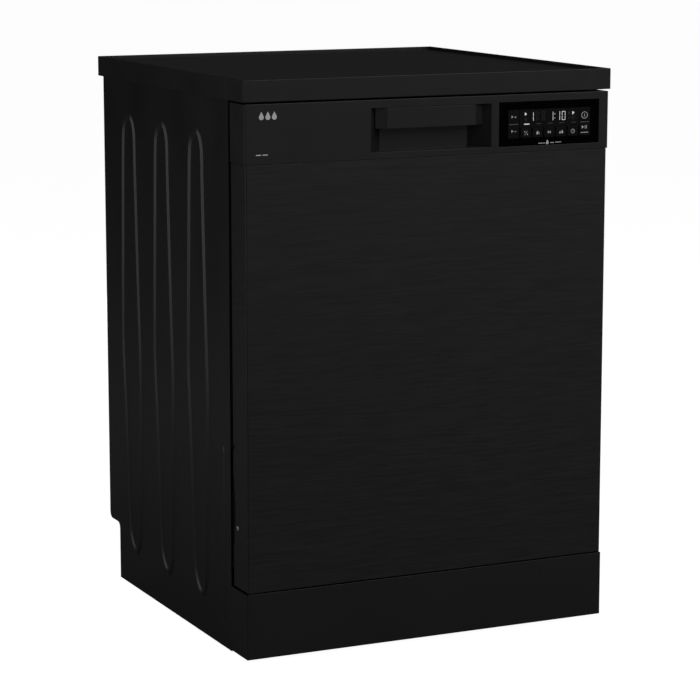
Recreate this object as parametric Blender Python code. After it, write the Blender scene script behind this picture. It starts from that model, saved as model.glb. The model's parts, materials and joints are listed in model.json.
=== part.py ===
"""A free-standing 60 cm dishwasher with a worktop, built from its separate pieces.

Metres. X is the width, -Y the front and Z up. The origin is on the floor under the middle of the worktop.
Run with: blender --background --python part.py
"""

import math

import bmesh
import bpy
import numpy as np

# Driving dimensions
WIDTH = 0.598
DEPTH = 0.594
HEIGHT = 0.850
GAP = 0.0003  # left between neighbouring pieces
SHEET = 0.001  # pressed steel

# Worktop: a board that lies 4.5 mm below the rim of the trims round it
WORKTOP_LOW = HEIGHT - 0.031
RIM_WIDE = 0.0075
RIM_DEEP = 0.0045
LEDGE_THICK = 0.0027
LEDGE_WIDE = 0.018

# Cabinet
PANEL_OUT = 0.2965  # outer face of a side panel, from the middle
CABINET_FRONT = -0.240
PANEL_FRONT = -0.2355  # the side panels stop short of the tub's flange
CABINET_BACK = 0.280
CABINET_LOW = 0.0075
NOTCH_Y = 0.235  # the lower back is cut away for pipes and a skirting board
NOTCH_Z = 0.096
FLANGE = 0.011

# Door, closed
DOOR_FRONT = -0.295
DOOR_BACK = -0.246
DOOR_SIDE_BACK = -0.2415  # the door's outer sides cover the edge of the inner door
DOOR_HALF = 0.2946
DOOR_LOW = 0.1065
DOOR_TOP = 0.816
FASCIA_LOW = 0.7305
FASCIA_HALF = 0.296
PLINTH_TOP = 0.1043
PLINTH_LOW = 0.009
PLINTH_HALF = 0.2968

# The door turns about this line, so that it clears the plinth and its inner side comes level with the tub's floor
PIVOT_Y = -0.228
PIVOT_Z = 0.176

# Tub, inside faces
TUB_HALF = 0.262
TUB_BACK = 0.255
TUB_FLOOR = 0.165
TUB_TOP = 0.785
TUB_FLANGE = 0.274

# Axes of what turns in the tub
ARM_Y = 0.010
ARM_HALF = 0.226
FILTER = (0.080, 0.100)
SALT = (-0.170, -0.090)

# Racks
RACK_HALF = 0.236
RACK_BACK = 0.232
WIRE = 0.0042
LOWER_RACK_FRONT = -0.192
LOWER_RACK_Z = (0.215, 0.335)
UPPER_RACK_FRONT = -0.215
UPPER_RACK_Z = (0.500, 0.600)
RAIL_Z = 0.560
RAIL_ROLLER_YS = (-0.205, -0.145)
WHEEL_R = 0.017
WHEEL_Z = TUB_FLOOR + 0.0015 + WHEEL_R
WHEEL_YS = {"front": -0.110, "rear": 0.180}

# Fascia
POCKET_HALF = 0.099
POCKET_Z = (0.740, 0.804)
POCKET_DEEP = 0.027
DISPLAY_X = (0.1115, 0.2800)
DISPLAY_Z = (0.7400, 0.8045)
KEY_GAP = 0.0004
ROCKER_Z = (0.7512, 0.7930)
OPTION_Z = (0.7512, 0.7656)
OPTION_PITCH = 0.0199
OPTION_WIDE = 0.0180
FIRST_OPTION_X = 0.1472

FOOT_X = 0.275
FOOT_Y = 0.195

# Base colour, roughness and metallic value of each finish
FINISHES = {
    "black_paint": ((0.012, 0.012, 0.012), 0.45, 0.0),
    "black_plastic": ((0.014, 0.014, 0.014), 0.50, 0.0),
    "laminate": ((0.013, 0.013, 0.013), 0.35, 0.0),
    "black_steel": ((0.030, 0.030, 0.031), 0.38, 0.6),
    "display_black": ((0.002, 0.002, 0.002), 0.12, 0.0),
    "key_black": ((0.006, 0.006, 0.006), 0.35, 0.0),
    "stainless": ((0.60, 0.60, 0.59), 0.28, 1.0),
    "zinc": ((0.55, 0.56, 0.57), 0.45, 1.0),
    "rack_coating": ((0.32, 0.33, 0.35), 0.35, 0.0),
    "grey_plastic": ((0.30, 0.31, 0.33), 0.50, 0.0),
    "light_plastic": ((0.62, 0.64, 0.66), 0.45, 0.0),
    "rubber": ((0.02, 0.02, 0.02), 0.80, 0.0),
}


def clear_scene():
    for obj in list(bpy.data.objects):
        bpy.data.objects.remove(obj)


def finish_material(name):
    """The Principled material of a finish, made once."""
    found = bpy.data.materials.get(name)
    if found:
        return found
    color, roughness, metallic = FINISHES[name]
    made = bpy.data.materials.new(name)
    made.use_nodes = True
    shader = made.node_tree.nodes["Principled BSDF"]
    shader.inputs["Base Color"].default_value = (*color, 1)
    shader.inputs["Roughness"].default_value = roughness
    shader.inputs["Metallic"].default_value = metallic
    return made


def add_object(name, finish, bm):
    """A scene object from a bmesh, with its normals pointing out."""
    bmesh.ops.recalc_face_normals(bm, faces=bm.faces[:])
    mesh = bpy.data.meshes.new(name)
    bm.to_mesh(mesh)
    bm.free()
    mesh.shade_smooth()
    mesh.set_sharp_from_angle(angle=math.radians(30))
    mesh.materials.append(finish_material(finish))
    obj = bpy.data.objects.new(name, mesh)
    bpy.context.scene.collection.objects.link(obj)
    return obj


def apply_modifiers(obj):
    bpy.context.view_layer.update()
    graph = bpy.context.evaluated_depsgraph_get()
    obj.data = bpy.data.meshes.new_from_object(obj.evaluated_get(graph))
    obj.modifiers.clear()
    return obj


def combine(obj, others, operation):
    """Joins other objects to obj, or cuts them from it, and removes them."""
    for other in others:
        boolean = obj.modifiers.new(operation.lower(), "BOOLEAN")
        boolean.operation = operation
        boolean.object = other
        apply_modifiers(obj)
        bpy.data.objects.remove(other)
    return obj


def union(obj, *others):
    return combine(obj, others, "UNION")


def cut(obj, *others):
    return combine(obj, others, "DIFFERENCE")


def mirrored(boxes):
    """The same boxes on the other side of the middle plane."""
    return [(-b[1], -b[0], *b[2:]) for b in boxes]


def both(boxes):
    return [*boxes, *mirrored(boxes)]


def on_side(side, boxes):
    """Boxes given for the right-hand side (side 1), turned over for the left (side -1)."""
    return list(boxes) if side > 0 else mirrored(boxes)


def blocks(name, finish, solids, voids=(), added=()):
    """One solid from axis-aligned boxes (x0, x1, y0, y1, z0, z1): solids, less voids, plus added."""
    every = (*solids, *voids, *added)
    lines = [
        sorted({round(v, 6) for box in every for v in box[2 * k : 2 * k + 2]}) for k in range(3)
    ]
    filled = np.zeros([len(line) + 1 for line in lines], bool)
    for boxes, value in ((solids, True), (voids, False), (added, True)):
        for box in boxes:
            spans = [
                slice(
                    lines[k].index(round(box[2 * k], 6)) + 1,
                    lines[k].index(round(box[2 * k + 1], 6)) + 1,
                )
                for k in range(3)
            ]
            filled[tuple(spans)] = value
    bm = bmesh.new()
    corners = {}

    def corner(index):
        if index not in corners:
            corners[index] = bm.verts.new([lines[k][index[k]] for k in range(3)])
        return corners[index]

    for axis in range(3):
        first, second = (k for k in range(3) if k != axis)
        for cell in np.argwhere(np.diff(filled, axis=axis)):
            ring = []
            for step in ((0, 0), (1, 0), (1, 1), (0, 1)):
                index = [0, 0, 0]
                index[axis] = int(cell[axis])
                index[first] = int(cell[first]) - 1 + step[0]
                index[second] = int(cell[second]) - 1 + step[1]
                ring.append(corner(tuple(index)))
            bm.faces.new(ring)
    bmesh.ops.dissolve_limit(bm, angle_limit=0.001, verts=bm.verts[:], edges=bm.edges[:])
    bmesh.ops.triangulate(bm, faces=bm.faces[:])
    return add_object(name, finish, bm)


def placed(axis, u, v, along):
    """The point at (u, v) in the plane across an axis, and that far along it."""
    point = [u, v]
    point.insert("xyz".index(axis), along)
    return point


def prism(name, finish, axis, outline, low, high, holes=()):
    """An outline across an axis, with holes in it, drawn out from low to high."""
    bm = bmesh.new()
    for loop in (outline, *holes):
        ring = [bm.verts.new(placed(axis, u, v, low)) for u, v in loop]
        for start, end in zip(ring, ring[1:] + ring[:1]):
            bm.edges.new((start, end))
    bmesh.ops.triangle_fill(bm, use_beauty=True, use_dissolve=False, edges=bm.edges[:])
    raised = bmesh.ops.extrude_face_region(bm, geom=bm.faces[:])["geom"]
    move = placed(axis, 0, 0, high - low)
    verts = [v for v in raised if isinstance(v, bmesh.types.BMVert)]
    bmesh.ops.translate(bm, vec=move, verts=verts)
    return add_object(name, finish, bm)


def circle(u, v, radius, steps=20, start=0.0, sweep=math.tau):
    """Points round a circle, or along an arc of it when sweep isn't a full turn."""
    count = steps if sweep == math.tau else steps + 1
    turns = [start + sweep * i / steps for i in range(count)]
    return [(u + radius * math.cos(t), v + radius * math.sin(t)) for t in turns]


def rod(axis, u, v, radius, low, high, steps=20, name="rod", finish="grey_plastic"):
    return prism(name, finish, axis, circle(u, v, radius, steps), low, high)


def turned(name, finish, centre, profile, steps=28):
    """A closed (radius, z) profile spun about the upright line through centre."""
    bm = bmesh.new()
    ring = [bm.verts.new((centre[0] + r, centre[1], z)) for r, z in profile]
    edges = [bm.edges.new(pair) for pair in zip(ring, ring[1:] + ring[:1])]
    bmesh.ops.spin(
        bm,
        geom=ring + edges,
        cent=(*centre, 0),
        axis=(0, 0, 1),
        angle=math.tau,
        steps=steps,
        use_merge=True,
    )
    bmesh.ops.remove_doubles(bm, verts=bm.verts[:], dist=1e-6)
    return add_object(name, finish, bm)


# ---- Worktop ----


def make_worktop():
    half, front, back = WIDTH / 2, -DEPTH / 2, DEPTH / 2
    inner = half - RIM_WIDE
    ledge_top = WORKTOP_LOW + LEDGE_THICK
    joint = PANEL_FRONT - 0.0005  # the front trim meets the side trims here
    blocks(
        "worktop_board",
        "laminate",
        [
            (
                -inner + GAP,
                inner - GAP,
                front + RIM_WIDE + GAP,
                back - RIM_WIDE - GAP,
                ledge_top + GAP,
                HEIGHT - RIM_DEEP,
            )
        ],
    )
    front_legs = both([(inner, half, front, joint, WORKTOP_LOW, HEIGHT)])
    front_ledge = both([(inner - LEDGE_WIDE, inner, front, joint, WORKTOP_LOW, ledge_top)])
    blocks(
        "worktop_front_trim",
        "black_plastic",
        [
            (-half, half, front, front + RIM_WIDE, WORKTOP_LOW, HEIGHT),
            (-half, half, front, front + RIM_WIDE + LEDGE_WIDE, WORKTOP_LOW, ledge_top),
            *front_legs,
            *front_ledge,
        ],
    )
    side_legs = both([(inner, half, joint + GAP, back, WORKTOP_LOW, HEIGHT)])
    side_ledge = both(
        [(inner - LEDGE_WIDE, inner, joint + GAP, back, WORKTOP_LOW, ledge_top)]
    )
    blocks(
        "worktop_frame",
        "black_plastic",
        [
            (-half, half, back - RIM_WIDE, back, WORKTOP_LOW, HEIGHT),
            (-half, half, back - RIM_WIDE - LEDGE_WIDE, back, WORKTOP_LOW, ledge_top),
            *side_legs,
            *side_ledge,
        ],
    )


# ---- Cabinet ----

BEAD_HIGH = 0.002
BEAD_YS = (0.164, 0.025, -0.114)
BEAD_Z = (0.062, 0.762)
BEAD_END_R = 0.023
BEAD_MIDDLE = 0.0375
BEAD_RINGS = ((0.008, 0.0), (0.0025, BEAD_HIGH), (-0.0025, BEAD_HIGH), (-0.008, 0.0))
RIB_Y = -0.210
RIB_Z = (0.045, 0.308)
RIB_RINGS = ((0.006, 0.0), (0.002, BEAD_HIGH))


def bead_outline(y, grow, steps=8):
    """A long pressed bead's line, grown outwards: round ends, and widest half way up."""
    low, high = BEAD_Z
    radius = BEAD_END_R + grow
    middle = (low + high) / 2
    top = circle(y, high - BEAD_END_R, radius, steps, 0, math.pi)
    bottom = circle(y, low + BEAD_END_R, radius, steps, math.pi, math.pi)
    side = BEAD_MIDDLE + grow
    return [*top, (y - side, middle), *bottom, (y + side, middle)]


def rib_outline(grow, steps=6):
    low, high = RIB_Z
    top = circle(RIB_Y, high, grow, steps, 0, math.pi)
    return [*top, *circle(RIB_Y, low, grow, steps, math.pi, math.pi)]


def make_side_panel(side):
    """A pressed sheet with beads that stand out, and flanges turned in at its front and back."""
    bm = bmesh.new()

    def point(y, z, out=0.0):
        return bm.verts.new((side * (PANEL_OUT + out), y, z))

    def closed_edges(ring):
        return [bm.edges.new(pair) for pair in zip(ring, ring[1:] + ring[:1])]

    top = WORKTOP_LOW - GAP
    flange_low = 0.310
    outline = [
        point(PANEL_FRONT, CABINET_LOW),
        point(PANEL_FRONT, flange_low),
        point(PANEL_FRONT, top),
        point(CABINET_BACK, top),
        point(CABINET_BACK, NOTCH_Z),
        point(NOTCH_Y, NOTCH_Z),
        point(NOTCH_Y, CABINET_LOW),
    ]
    border = closed_edges(outline)
    flat_edges = list(border)
    beads = [
        [[point(*p, out) for p in bead_outline(y, grow)] for grow, out in BEAD_RINGS]
        for y in BEAD_YS
    ]
    beads.append([[point(*p, out) for p in rib_outline(grow)] for grow, out in RIB_RINGS])
    for rings in beads:
        flat_edges += closed_edges(rings[0])
    bmesh.ops.triangle_fill(bm, use_beauty=True, use_dissolve=False, edges=flat_edges)
    for rings in beads:
        for outer, inner in zip(rings, rings[1:]):
            for i in range(len(outer)):
                bm.faces.new((outer[i - 1], outer[i], inner[i], inner[i - 1]))
        bm.faces.new(rings[-1])
    flange_edges = [border[1], border[3]]
    turned_in = bmesh.ops.extrude_edge_only(bm, edges=flange_edges)["geom"]
    moved = [v for v in turned_in if isinstance(v, bmesh.types.BMVert)]
    bmesh.ops.translate(bm, vec=(-side * (FLANGE + SHEET), 0, 0), verts=moved)
    bmesh.ops.recalc_face_normals(bm, faces=bm.faces[:])
    face = max(bm.faces, key=lambda f: abs(f.normal.x) * f.calc_area())
    if face.normal.x * side < 0:
        bmesh.ops.reverse_faces(bm, faces=bm.faces[:])
    name = "side_panel_right" if side > 0 else "side_panel_left"
    mesh = bpy.data.meshes.new(name)
    bm.to_mesh(mesh)
    bm.free()
    mesh.materials.append(finish_material("black_paint"))
    obj = bpy.data.objects.new(name, mesh)
    bpy.context.scene.collection.objects.link(obj)
    thick = obj.modifiers.new("sheet", "SOLIDIFY")
    thick.thickness = SHEET
    thick.offset = -1
    return obj


def make_cabinet():
    inner = PANEL_OUT - SHEET - GAP
    for side in (-1, 1):
        make_side_panel(side)
    blocks(
        "rear_panel",
        "zinc",
        [
            (
                -0.2835,
                0.2835,
                CABINET_BACK + GAP,
                CABINET_BACK + GAP + SHEET,
                NOTCH_Z + 0.0015,
                WORKTOP_LOW - 0.001,
            )
        ],
    )
    bar_low, bar_high = 0.789, WORKTOP_LOW - GAP
    crossbar = blocks(
        "front_crossbar",
        "zinc",
        [
            (-inner, inner, PANEL_FRONT + 0.0015, -0.190, bar_low, bar_high),
            (-0.0115, 0.0115, -0.2605, PANEL_FRONT + 0.0015, 0.8015, 0.8070),
        ],
        [
            (-inner, inner, PANEL_FRONT + 0.003, -0.190, bar_low + 0.0015, bar_high - 0.0015),
            (-0.0080, 0.0080, -0.2575, -0.2470, 0.8015, 0.8070),
        ],
    )
    return crossbar


def make_plinth():
    wall = 0.0012
    front_wall = 0.0015
    ribs = both([(0.148, 0.152, DOOR_FRONT + front_wall, -0.2325, 0.020, 0.060)])
    sides = both(
        [(PLINTH_HALF - wall, PLINTH_HALF, DOOR_FRONT, PANEL_FRONT - 0.0005, PLINTH_LOW, PLINTH_TOP)]
    )
    blocks(
        "plinth",
        "black_paint",
        [
            (-PLINTH_HALF, PLINTH_HALF, DOOR_FRONT, DOOR_FRONT + front_wall, PLINTH_LOW, PLINTH_TOP),
            *sides,
            *ribs,
        ],
    )


BASE_LOW = 0.010
BASE_TOP = 0.070
BASE_WALL = 0.003
BASE_HALF = 0.294
BASE_FRONT = -0.232
BASE_BACK = 0.234
VALVE_X = -0.200
VALVE_Z = 0.045
DRAIN_X = 0.200
DRAIN_Z = 0.060


def make_base():
    """A moulded tray with a threaded socket for each foot and posts that carry the tub."""
    sockets = [
        (x - 0.019, x + 0.019, y - 0.019, y + 0.019, BASE_LOW, 0.060)
        for x in (-FOOT_X, FOOT_X)
        for y in (-FOOT_Y, FOOT_Y)
    ]
    posts = both(
        [
            (0.246, 0.258, -0.146, -0.126, BASE_LOW, TUB_FLOOR - SHEET - GAP),
            (0.246, 0.258, 0.192, 0.212, BASE_LOW, TUB_FLOOR - SHEET - GAP),
        ]
    )
    tray = blocks(
        "base_tray",
        "grey_plastic",
        [(-BASE_HALF, BASE_HALF, BASE_FRONT, BASE_BACK, BASE_LOW, BASE_TOP)],
        [
            (
                -BASE_HALF + BASE_WALL,
                BASE_HALF - BASE_WALL,
                BASE_FRONT + BASE_WALL,
                BASE_BACK - BASE_WALL,
                BASE_LOW + BASE_WALL,
                BASE_TOP,
            )
        ],
        [*sockets, *posts],
    )
    bores = [
        rod("z", x, y, 0.0063, 0.0, 0.080, 16)
        for x in (-FOOT_X, FOOT_X)
        for y in (-FOOT_Y, FOOT_Y)
    ]
    ports = [
        rod("y", VALVE_X, VALVE_Z, 0.0138, 0.225, 0.240, 24),
        rod("y", DRAIN_X, DRAIN_Z, 0.0095, 0.225, 0.240, 16),
    ]
    return cut(tray, *bores, *ports)


def make_foot(name, x, y):
    """A rubber-soled levelling foot on a threaded stem, screwed fully in."""
    profile = [
        (0, 0),
        (0.0155, 0),
        (0.017, 0.0015),
        (0.017, 0.0065),
        (0.006, 0.0078),
        (0.006, 0.057),
        (0, 0.057),
    ]
    turned(name, "rubber", (x, y), profile, 16)


def make_feet():
    for y_name, y in (("front", -FOOT_Y), ("rear", FOOT_Y)):
        for x_name, x in (("left", -FOOT_X), ("right", FOOT_X)):
            make_foot(f"foot_{y_name}_{x_name}", x, y)


# ---- Tub and what stands in it ----


def make_tub():
    wall = SHEET
    flange_top = 0.799
    tub = blocks(
        "tub",
        "stainless",
        [
            (
                -TUB_HALF - wall,
                TUB_HALF + wall,
                CABINET_FRONT,
                TUB_BACK + wall,
                TUB_FLOOR - wall,
                TUB_TOP + wall,
            ),
            (-TUB_FLANGE, TUB_FLANGE, CABINET_FRONT, CABINET_FRONT + wall, 0.190, flange_top),
        ],
        [
            (-TUB_HALF, TUB_HALF, CABINET_FRONT, TUB_BACK, TUB_FLOOR, TUB_TOP),
            (-TUB_FLANGE, TUB_FLANGE, CABINET_FRONT, -0.237, 0.100, TUB_FLOOR),
        ],
    )
    for y in RAIL_ROLLER_YS:
        for side in (-1, 1):
            ends = sorted((side * 0.2480, side * (TUB_HALF + wall / 2)))
            union(tub, rod("x", y, RAIL_Z, 0.0085, *ends, 12))
    return cut(
        tub,
        rod("z", *FILTER, 0.0635, 0.150, 0.180, 36),
        rod("z", 0, ARM_Y, 0.020, 0.150, 0.180, 20),
        rod("z", *SALT, 0.0345, 0.150, 0.180, 28),
    )


def make_seal():
    """The rubber seal that the closed door presses on: both sides and the top of the opening."""
    front, back = DOOR_BACK + GAP, CABINET_FRONT - GAP
    sides = both([(0.2635, 0.2735, front, back, 0.190, 0.797)])
    blocks("door_seal", "rubber", [*sides, (-0.2735, 0.2735, front, back, 0.787, 0.797)])


def make_sump():
    """The cup under the filters, with the duct and pedestal that feed and carry the lower arm."""
    cup = turned(
        "sump",
        "grey_plastic",
        FILTER,
        [
            (0, 0.045),
            (0.063, 0.045),
            (0.063, 0.1655),
            (0.072, 0.1655),
            (0.072, 0.1680),
            (0.060, 0.1680),
            (0.060, 0.048),
            (0, 0.048),
        ],
        36,
    )
    duct = blocks(
        "duct",
        "grey_plastic",
        [
            (-0.018, 0.095, -0.008, 0.028, 0.118, 0.150),
            (0.060, 0.100, -0.008, 0.0415, 0.118, 0.150),
        ],
    )
    pedestal = turned(
        "pedestal",
        "grey_plastic",
        (0, ARM_Y),
        [
            (0, 0.120),
            (0.0165, 0.120),
            (0.0165, 0.1885),
            (0.007, 0.1885),
            (0.007, 0.2035),
            (0.011, 0.2035),
            (0.011, 0.206),
            (0, 0.206),
        ],
        20,
    )
    return union(cup, duct, pedestal)


def make_pumps():
    circulation = rod(
        "x", 0.100, 0.095, 0.042, -0.125, 0.004, 24, "circulation_pump", "grey_plastic"
    )
    union(
        circulation,
        rod("x", 0.100, 0.095, 0.033, -0.190, -0.120, 20),
        rod("x", 0.100, 0.095, 0.018, 0.000, 0.0163, 16),
    )
    drain = rod("x", 0.100, 0.075, 0.026, 0.150, 0.225, 20, "drain_pump", "grey_plastic")
    union(
        drain,
        rod("x", 0.100, 0.075, 0.014, 0.1437, 0.155, 16),
        rod("y", DRAIN_X, DRAIN_Z, 0.009, 0.095, 0.262, 16),
    )


def make_softener():
    body = blocks(
        "water_softener", "light_plastic", [(-0.235, -0.105, -0.150, -0.020, 0.045, 0.160)]
    )
    union(body, rod("z", *SALT, 0.033, 0.150, 0.1705, 28))
    cut(body, rod("z", *SALT, 0.027, 0.070, 0.200, 24))
    cap = turned(
        "salt_cap",
        "grey_plastic",
        SALT,
        [(0, 0.1710), (0.037, 0.1710), (0.039, 0.1725), (0.039, 0.1765), (0.034, 0.1785), (0, 0.1785)],
        24,
    )
    x, y = SALT
    union(cap, blocks("cap_grip", "grey_plastic", [(x - 0.026, x + 0.026, y - 0.004, y + 0.004, 0.177, 0.1835)]))


def make_filters():
    turned(
        "coarse_filter",
        "stainless",
        FILTER,
        [(0.0285, 0.1684), (0.070, 0.1684), (0.070, 0.1700), (0.0285, 0.1700)],
        36,
    )
    fine = turned(
        "fine_filter",
        "grey_plastic",
        FILTER,
        [(0, 0.060), (0.025, 0.060), (0.0275, 0.168), (0.0275, 0.1735), (0, 0.1735)],
        24,
    )
    x, y = FILTER
    union(
        fine,
        blocks("tab", "grey_plastic", [(x - 0.020, x + 0.020, y - 0.0035, y + 0.0035, 0.172, 0.1845)]),
    )


def arm_outline(half_length, middle, tip, steps=10):
    """A spray arm from above: widest at its hub, with round tips."""
    points = []
    for end in (1, -1):
        span = [half_length * (1 - i / steps) for i in range(steps)]
        for i in range(5):
            t = math.radians(-90 + 45 * i)
            x = half_length - tip + tip * math.cos(t)
            points.append((end * x, end * tip * math.sin(t)))
        for x in span[2:]:
            width = tip + (middle - tip) * (1 - x / half_length) ** 1.5
            points.append((end * x, end * width))
        for x in reversed(span[2:]):
            width = tip + (middle - tip) * (1 - x / half_length) ** 1.5
            points.append((-end * x, end * width))
    return points[: len(points) // 2] + points[len(points) // 2 :]


def spray_arm(name, low, high, half_length, middle, tip, bore):
    outline = []
    for x, y in arm_outline(half_length, middle, tip):
        if not outline or math.dist(outline[-1], (x, y)) > 1e-5:
            outline.append((x, y + ARM_Y))
    return prism(name, "light_plastic", "z", outline, low, high, [circle(0, ARM_Y, bore, 16)])


def make_sprays():
    spray_arm("lower_spray_arm", 0.189, 0.203, ARM_HALF, 0.030, 0.013, 0.0073)
    spray_arm("upper_spray_arm", 0.4545, 0.4685, 0.205, 0.028, 0.012, 0.0068)
    spray_arm("ceiling_sprayer", 0.7420, 0.7510, 0.085, 0.022, 0.010, 0.0045)


def make_duct():
    """The feed pipe up the back wall and along the ceiling, with its outlet for the upper rack."""
    depth = 0.014
    duct = blocks(
        "water_duct",
        "grey_plastic",
        [
            (-0.018, 0.018, TUB_BACK - GAP - depth, TUB_BACK - GAP, TUB_FLOOR + GAP, TUB_TOP - GAP),
            (-0.018, 0.018, ARM_Y - 0.018, TUB_BACK - GAP, TUB_TOP - GAP - depth, TUB_TOP - GAP),
        ],
    )
    stem = turned(
        "stem",
        "grey_plastic",
        (0, ARM_Y),
        [
            (0, 0.7390),
            (0.0085, 0.7390),
            (0.0085, 0.7415),
            (0.0042, 0.7415),
            (0.0042, 0.7515),
            (0.012, 0.7515),
            (0.012, 0.775),
            (0, 0.775),
        ],
        16,
    )
    outlet = rod("y", 0, 0.491, 0.011, 0.2368, 0.245, 16)
    return union(duct, stem, outlet)


# ---- Racks ----


def wire_basket(front, heights, across, along, up):
    """The wires of an open basket, as boxes: a lattice floor and four lattice walls."""
    low, high = heights
    xs = [RACK_HALF * (2 * i / across - 1) for i in range(across + 1)]
    ys = [front + (RACK_BACK - front) * i / along for i in range(along + 1)]
    zs = [low + (high - low) * i / up for i in range(up + 1)]
    w = WIRE / 2
    wires = [(x - w, x + w, front - w, RACK_BACK + w, low - w, low + w) for x in xs]
    wires += [(-RACK_HALF - w, RACK_HALF + w, y - w, y + w, low - w, low + w) for y in ys]
    for z in zs[1:]:
        for x in (xs[0], xs[-1]):
            wires.append((x - w, x + w, front - w, RACK_BACK + w, z - w, z + w))
        for y in (ys[0], ys[-1]):
            wires.append((-RACK_HALF - w, RACK_HALF + w, y - w, y + w, z - w, z + w))
    for x in xs:
        for y in (ys[0], ys[-1]):
            wires.append((x - w, x + w, y - w, y + w, low - w, high + w))
    for y in ys:
        for x in (xs[0], xs[-1]):
            wires.append((x - w, x + w, y - w, y + w, low - w, high + w))
    return wires


def make_lower_rack():
    wires = wire_basket(LOWER_RACK_FRONT, LOWER_RACK_Z, 7, 6, 2)
    hangers = []
    for y in WHEEL_YS.values():
        hangers.append((RACK_HALF - 0.001, 0.2395, y - 0.007, y + 0.007, WHEEL_Z - 0.006, 0.2165))
    rack = blocks("lower_rack", "rack_coating", [*wires, *both(hangers)])
    for y in WHEEL_YS.values():
        for side in (-1, 1):
            ends = sorted((side * 0.2370, side * 0.2515))
            union(rack, rod("x", y, WHEEL_Z, 0.004, *ends, 12))


def make_wheel(name, side, y):
    low, high = sorted((side * 0.2402, side * 0.2500))
    outline = circle(y, WHEEL_Z, WHEEL_R, 24)
    prism(name, "grey_plastic", "x", outline, low, high, [circle(y, WHEEL_Z, 0.0043, 12)])


def make_upper_rack():
    wires = wire_basket(UPPER_RACK_FRONT, UPPER_RACK_Z, 7, 6, 2)
    brackets = [
        (RACK_HALF - 0.001, 0.2445, y - 0.022, y + 0.022, 0.546, 0.574) for y in (-0.140, 0.140)
    ]
    blocks("upper_rack", "rack_coating", [*wires, *both(brackets)])
    feed = blocks(
        "upper_arm_feed", "grey_plastic", [(-0.015, 0.015, ARM_Y - 0.015, 0.2363, 0.4835, 0.4972)]
    )
    hub = turned(
        "hub",
        "grey_plastic",
        (0, ARM_Y),
        [
            (0, 0.4515),
            (0.0105, 0.4515),
            (0.0105, 0.4540),
            (0.0065, 0.4540),
            (0.0065, 0.4690),
            (0.014, 0.4690),
            (0.014, 0.490),
            (0, 0.490),
        ],
        16,
    )
    union(feed, hub)


def make_rails():
    for side, name in ((-1, "rack_rail_left"), (1, "rack_rail_right")):
        rail = on_side(side, [(0.2450, 0.2560, -0.225, 0.235, RAIL_Z - 0.012, RAIL_Z + 0.012)])
        groove = on_side(side, [(0.2475, 0.2560, -0.225, 0.235, RAIL_Z - 0.0095, RAIL_Z + 0.0095)])
        blocks(name, "stainless", rail, groove)


def make_cutlery_basket():
    x0, x1, y0, y1, z0, z1 = 0.108, 0.228, -0.186, 0.054, 0.2182, 0.335
    wall = 0.002
    middle = (y0 + y1) / 2
    voids = [
        (x0 + wall, x1 - wall, y0 + wall, middle - wall, z0 + wall, z1),
        (x0 + wall, x1 - wall, middle + wall, y1 - wall, z0 + wall, z1),
    ]
    grip = [(x0, x1, middle - wall, middle + wall, z0, 0.372)]
    finger_hole = (x0 + 0.030, x1 - 0.030, middle - wall, middle + wall, 0.345, 0.364)
    blocks("cutlery_basket", "grey_plastic", [(x0, x1, y0, y1, z0, z1), *grip], [*voids, finger_hole])


# ---- Hinges ----

HINGE_ARM = [
    (-0.262, 0.400),
    (-0.2473, 0.400),
    (-0.2473, 0.192),
    (-0.216, 0.192),
    (-0.200, 0.130),
    (-0.211, 0.124),
    (-0.234, 0.160),
    (-0.262, 0.160),
]


def make_hinges():
    for side, word in ((-1, "left"), (1, "right")):
        plate = on_side(side, [(0.2765, 0.2790, -0.2395, -0.120, 0.1645, 0.235)])
        tab = on_side(side, [(0.2633, 0.2790, -0.1225, -0.120, 0.1645, 0.235)])
        bracket = blocks(f"hinge_bracket_{word}", "zinc", [*plate, *tab])
        pin_ends = sorted((side * 0.2780, side * 0.2880))
        union(bracket, rod("x", PIVOT_Y, PIVOT_Z, 0.005, *pin_ends, 16))
        arm_ends = sorted((side * 0.2810, side * 0.2840))
        hole = circle(PIVOT_Y, PIVOT_Z, 0.0053, 16)
        prism(f"hinge_arm_{word}", "zinc", "x", HINGE_ARM, *arm_ends, [hole])
        rod("y", side * 0.2825, 0.127, 0.006, -0.1985, 0.030, 12, f"hinge_spring_{word}", "zinc")


# ---- Door ----


def make_outer_panel():
    wall = SHEET
    sides = both(
        [(DOOR_HALF - wall, DOOR_HALF, DOOR_FRONT, DOOR_SIDE_BACK, DOOR_LOW, FASCIA_LOW - 0.0005)]
    )
    blocks(
        "door_outer_panel",
        "black_steel",
        [
            (-DOOR_HALF, DOOR_HALF, DOOR_FRONT, DOOR_FRONT + wall, DOOR_LOW, FASCIA_LOW - 0.0005),
            (-0.262, 0.262, DOOR_FRONT, DOOR_BACK - 0.0015, DOOR_LOW, DOOR_LOW + wall),
            *sides,
        ],
    )


def make_liner():
    """The inner door: a steel sheet with a shallow dish that holds the dispenser."""
    front, back = DOOR_BACK - SHEET, DOOR_BACK
    dish_half, dish_low, dish_high, dish_y = 0.222, 0.215, 0.725, -0.259
    blocks(
        "door_liner",
        "stainless",
        [
            (-0.2746, 0.2746, front, back, 0.1120, 0.8120),
            (-0.2915, 0.2915, front, back, 0.3050, 0.8120),
            (-dish_half - SHEET, dish_half + SHEET, dish_y, back, dish_low - SHEET, dish_high + SHEET),
        ],
        [
            (-dish_half, dish_half, dish_y + SHEET, back, dish_low, dish_high),
            (-0.0805, 0.0805, dish_y, back, 0.4345, 0.5655),
            (-0.0165, 0.0165, front, back, 0.7985, 0.8105),
        ],
    )


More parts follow.
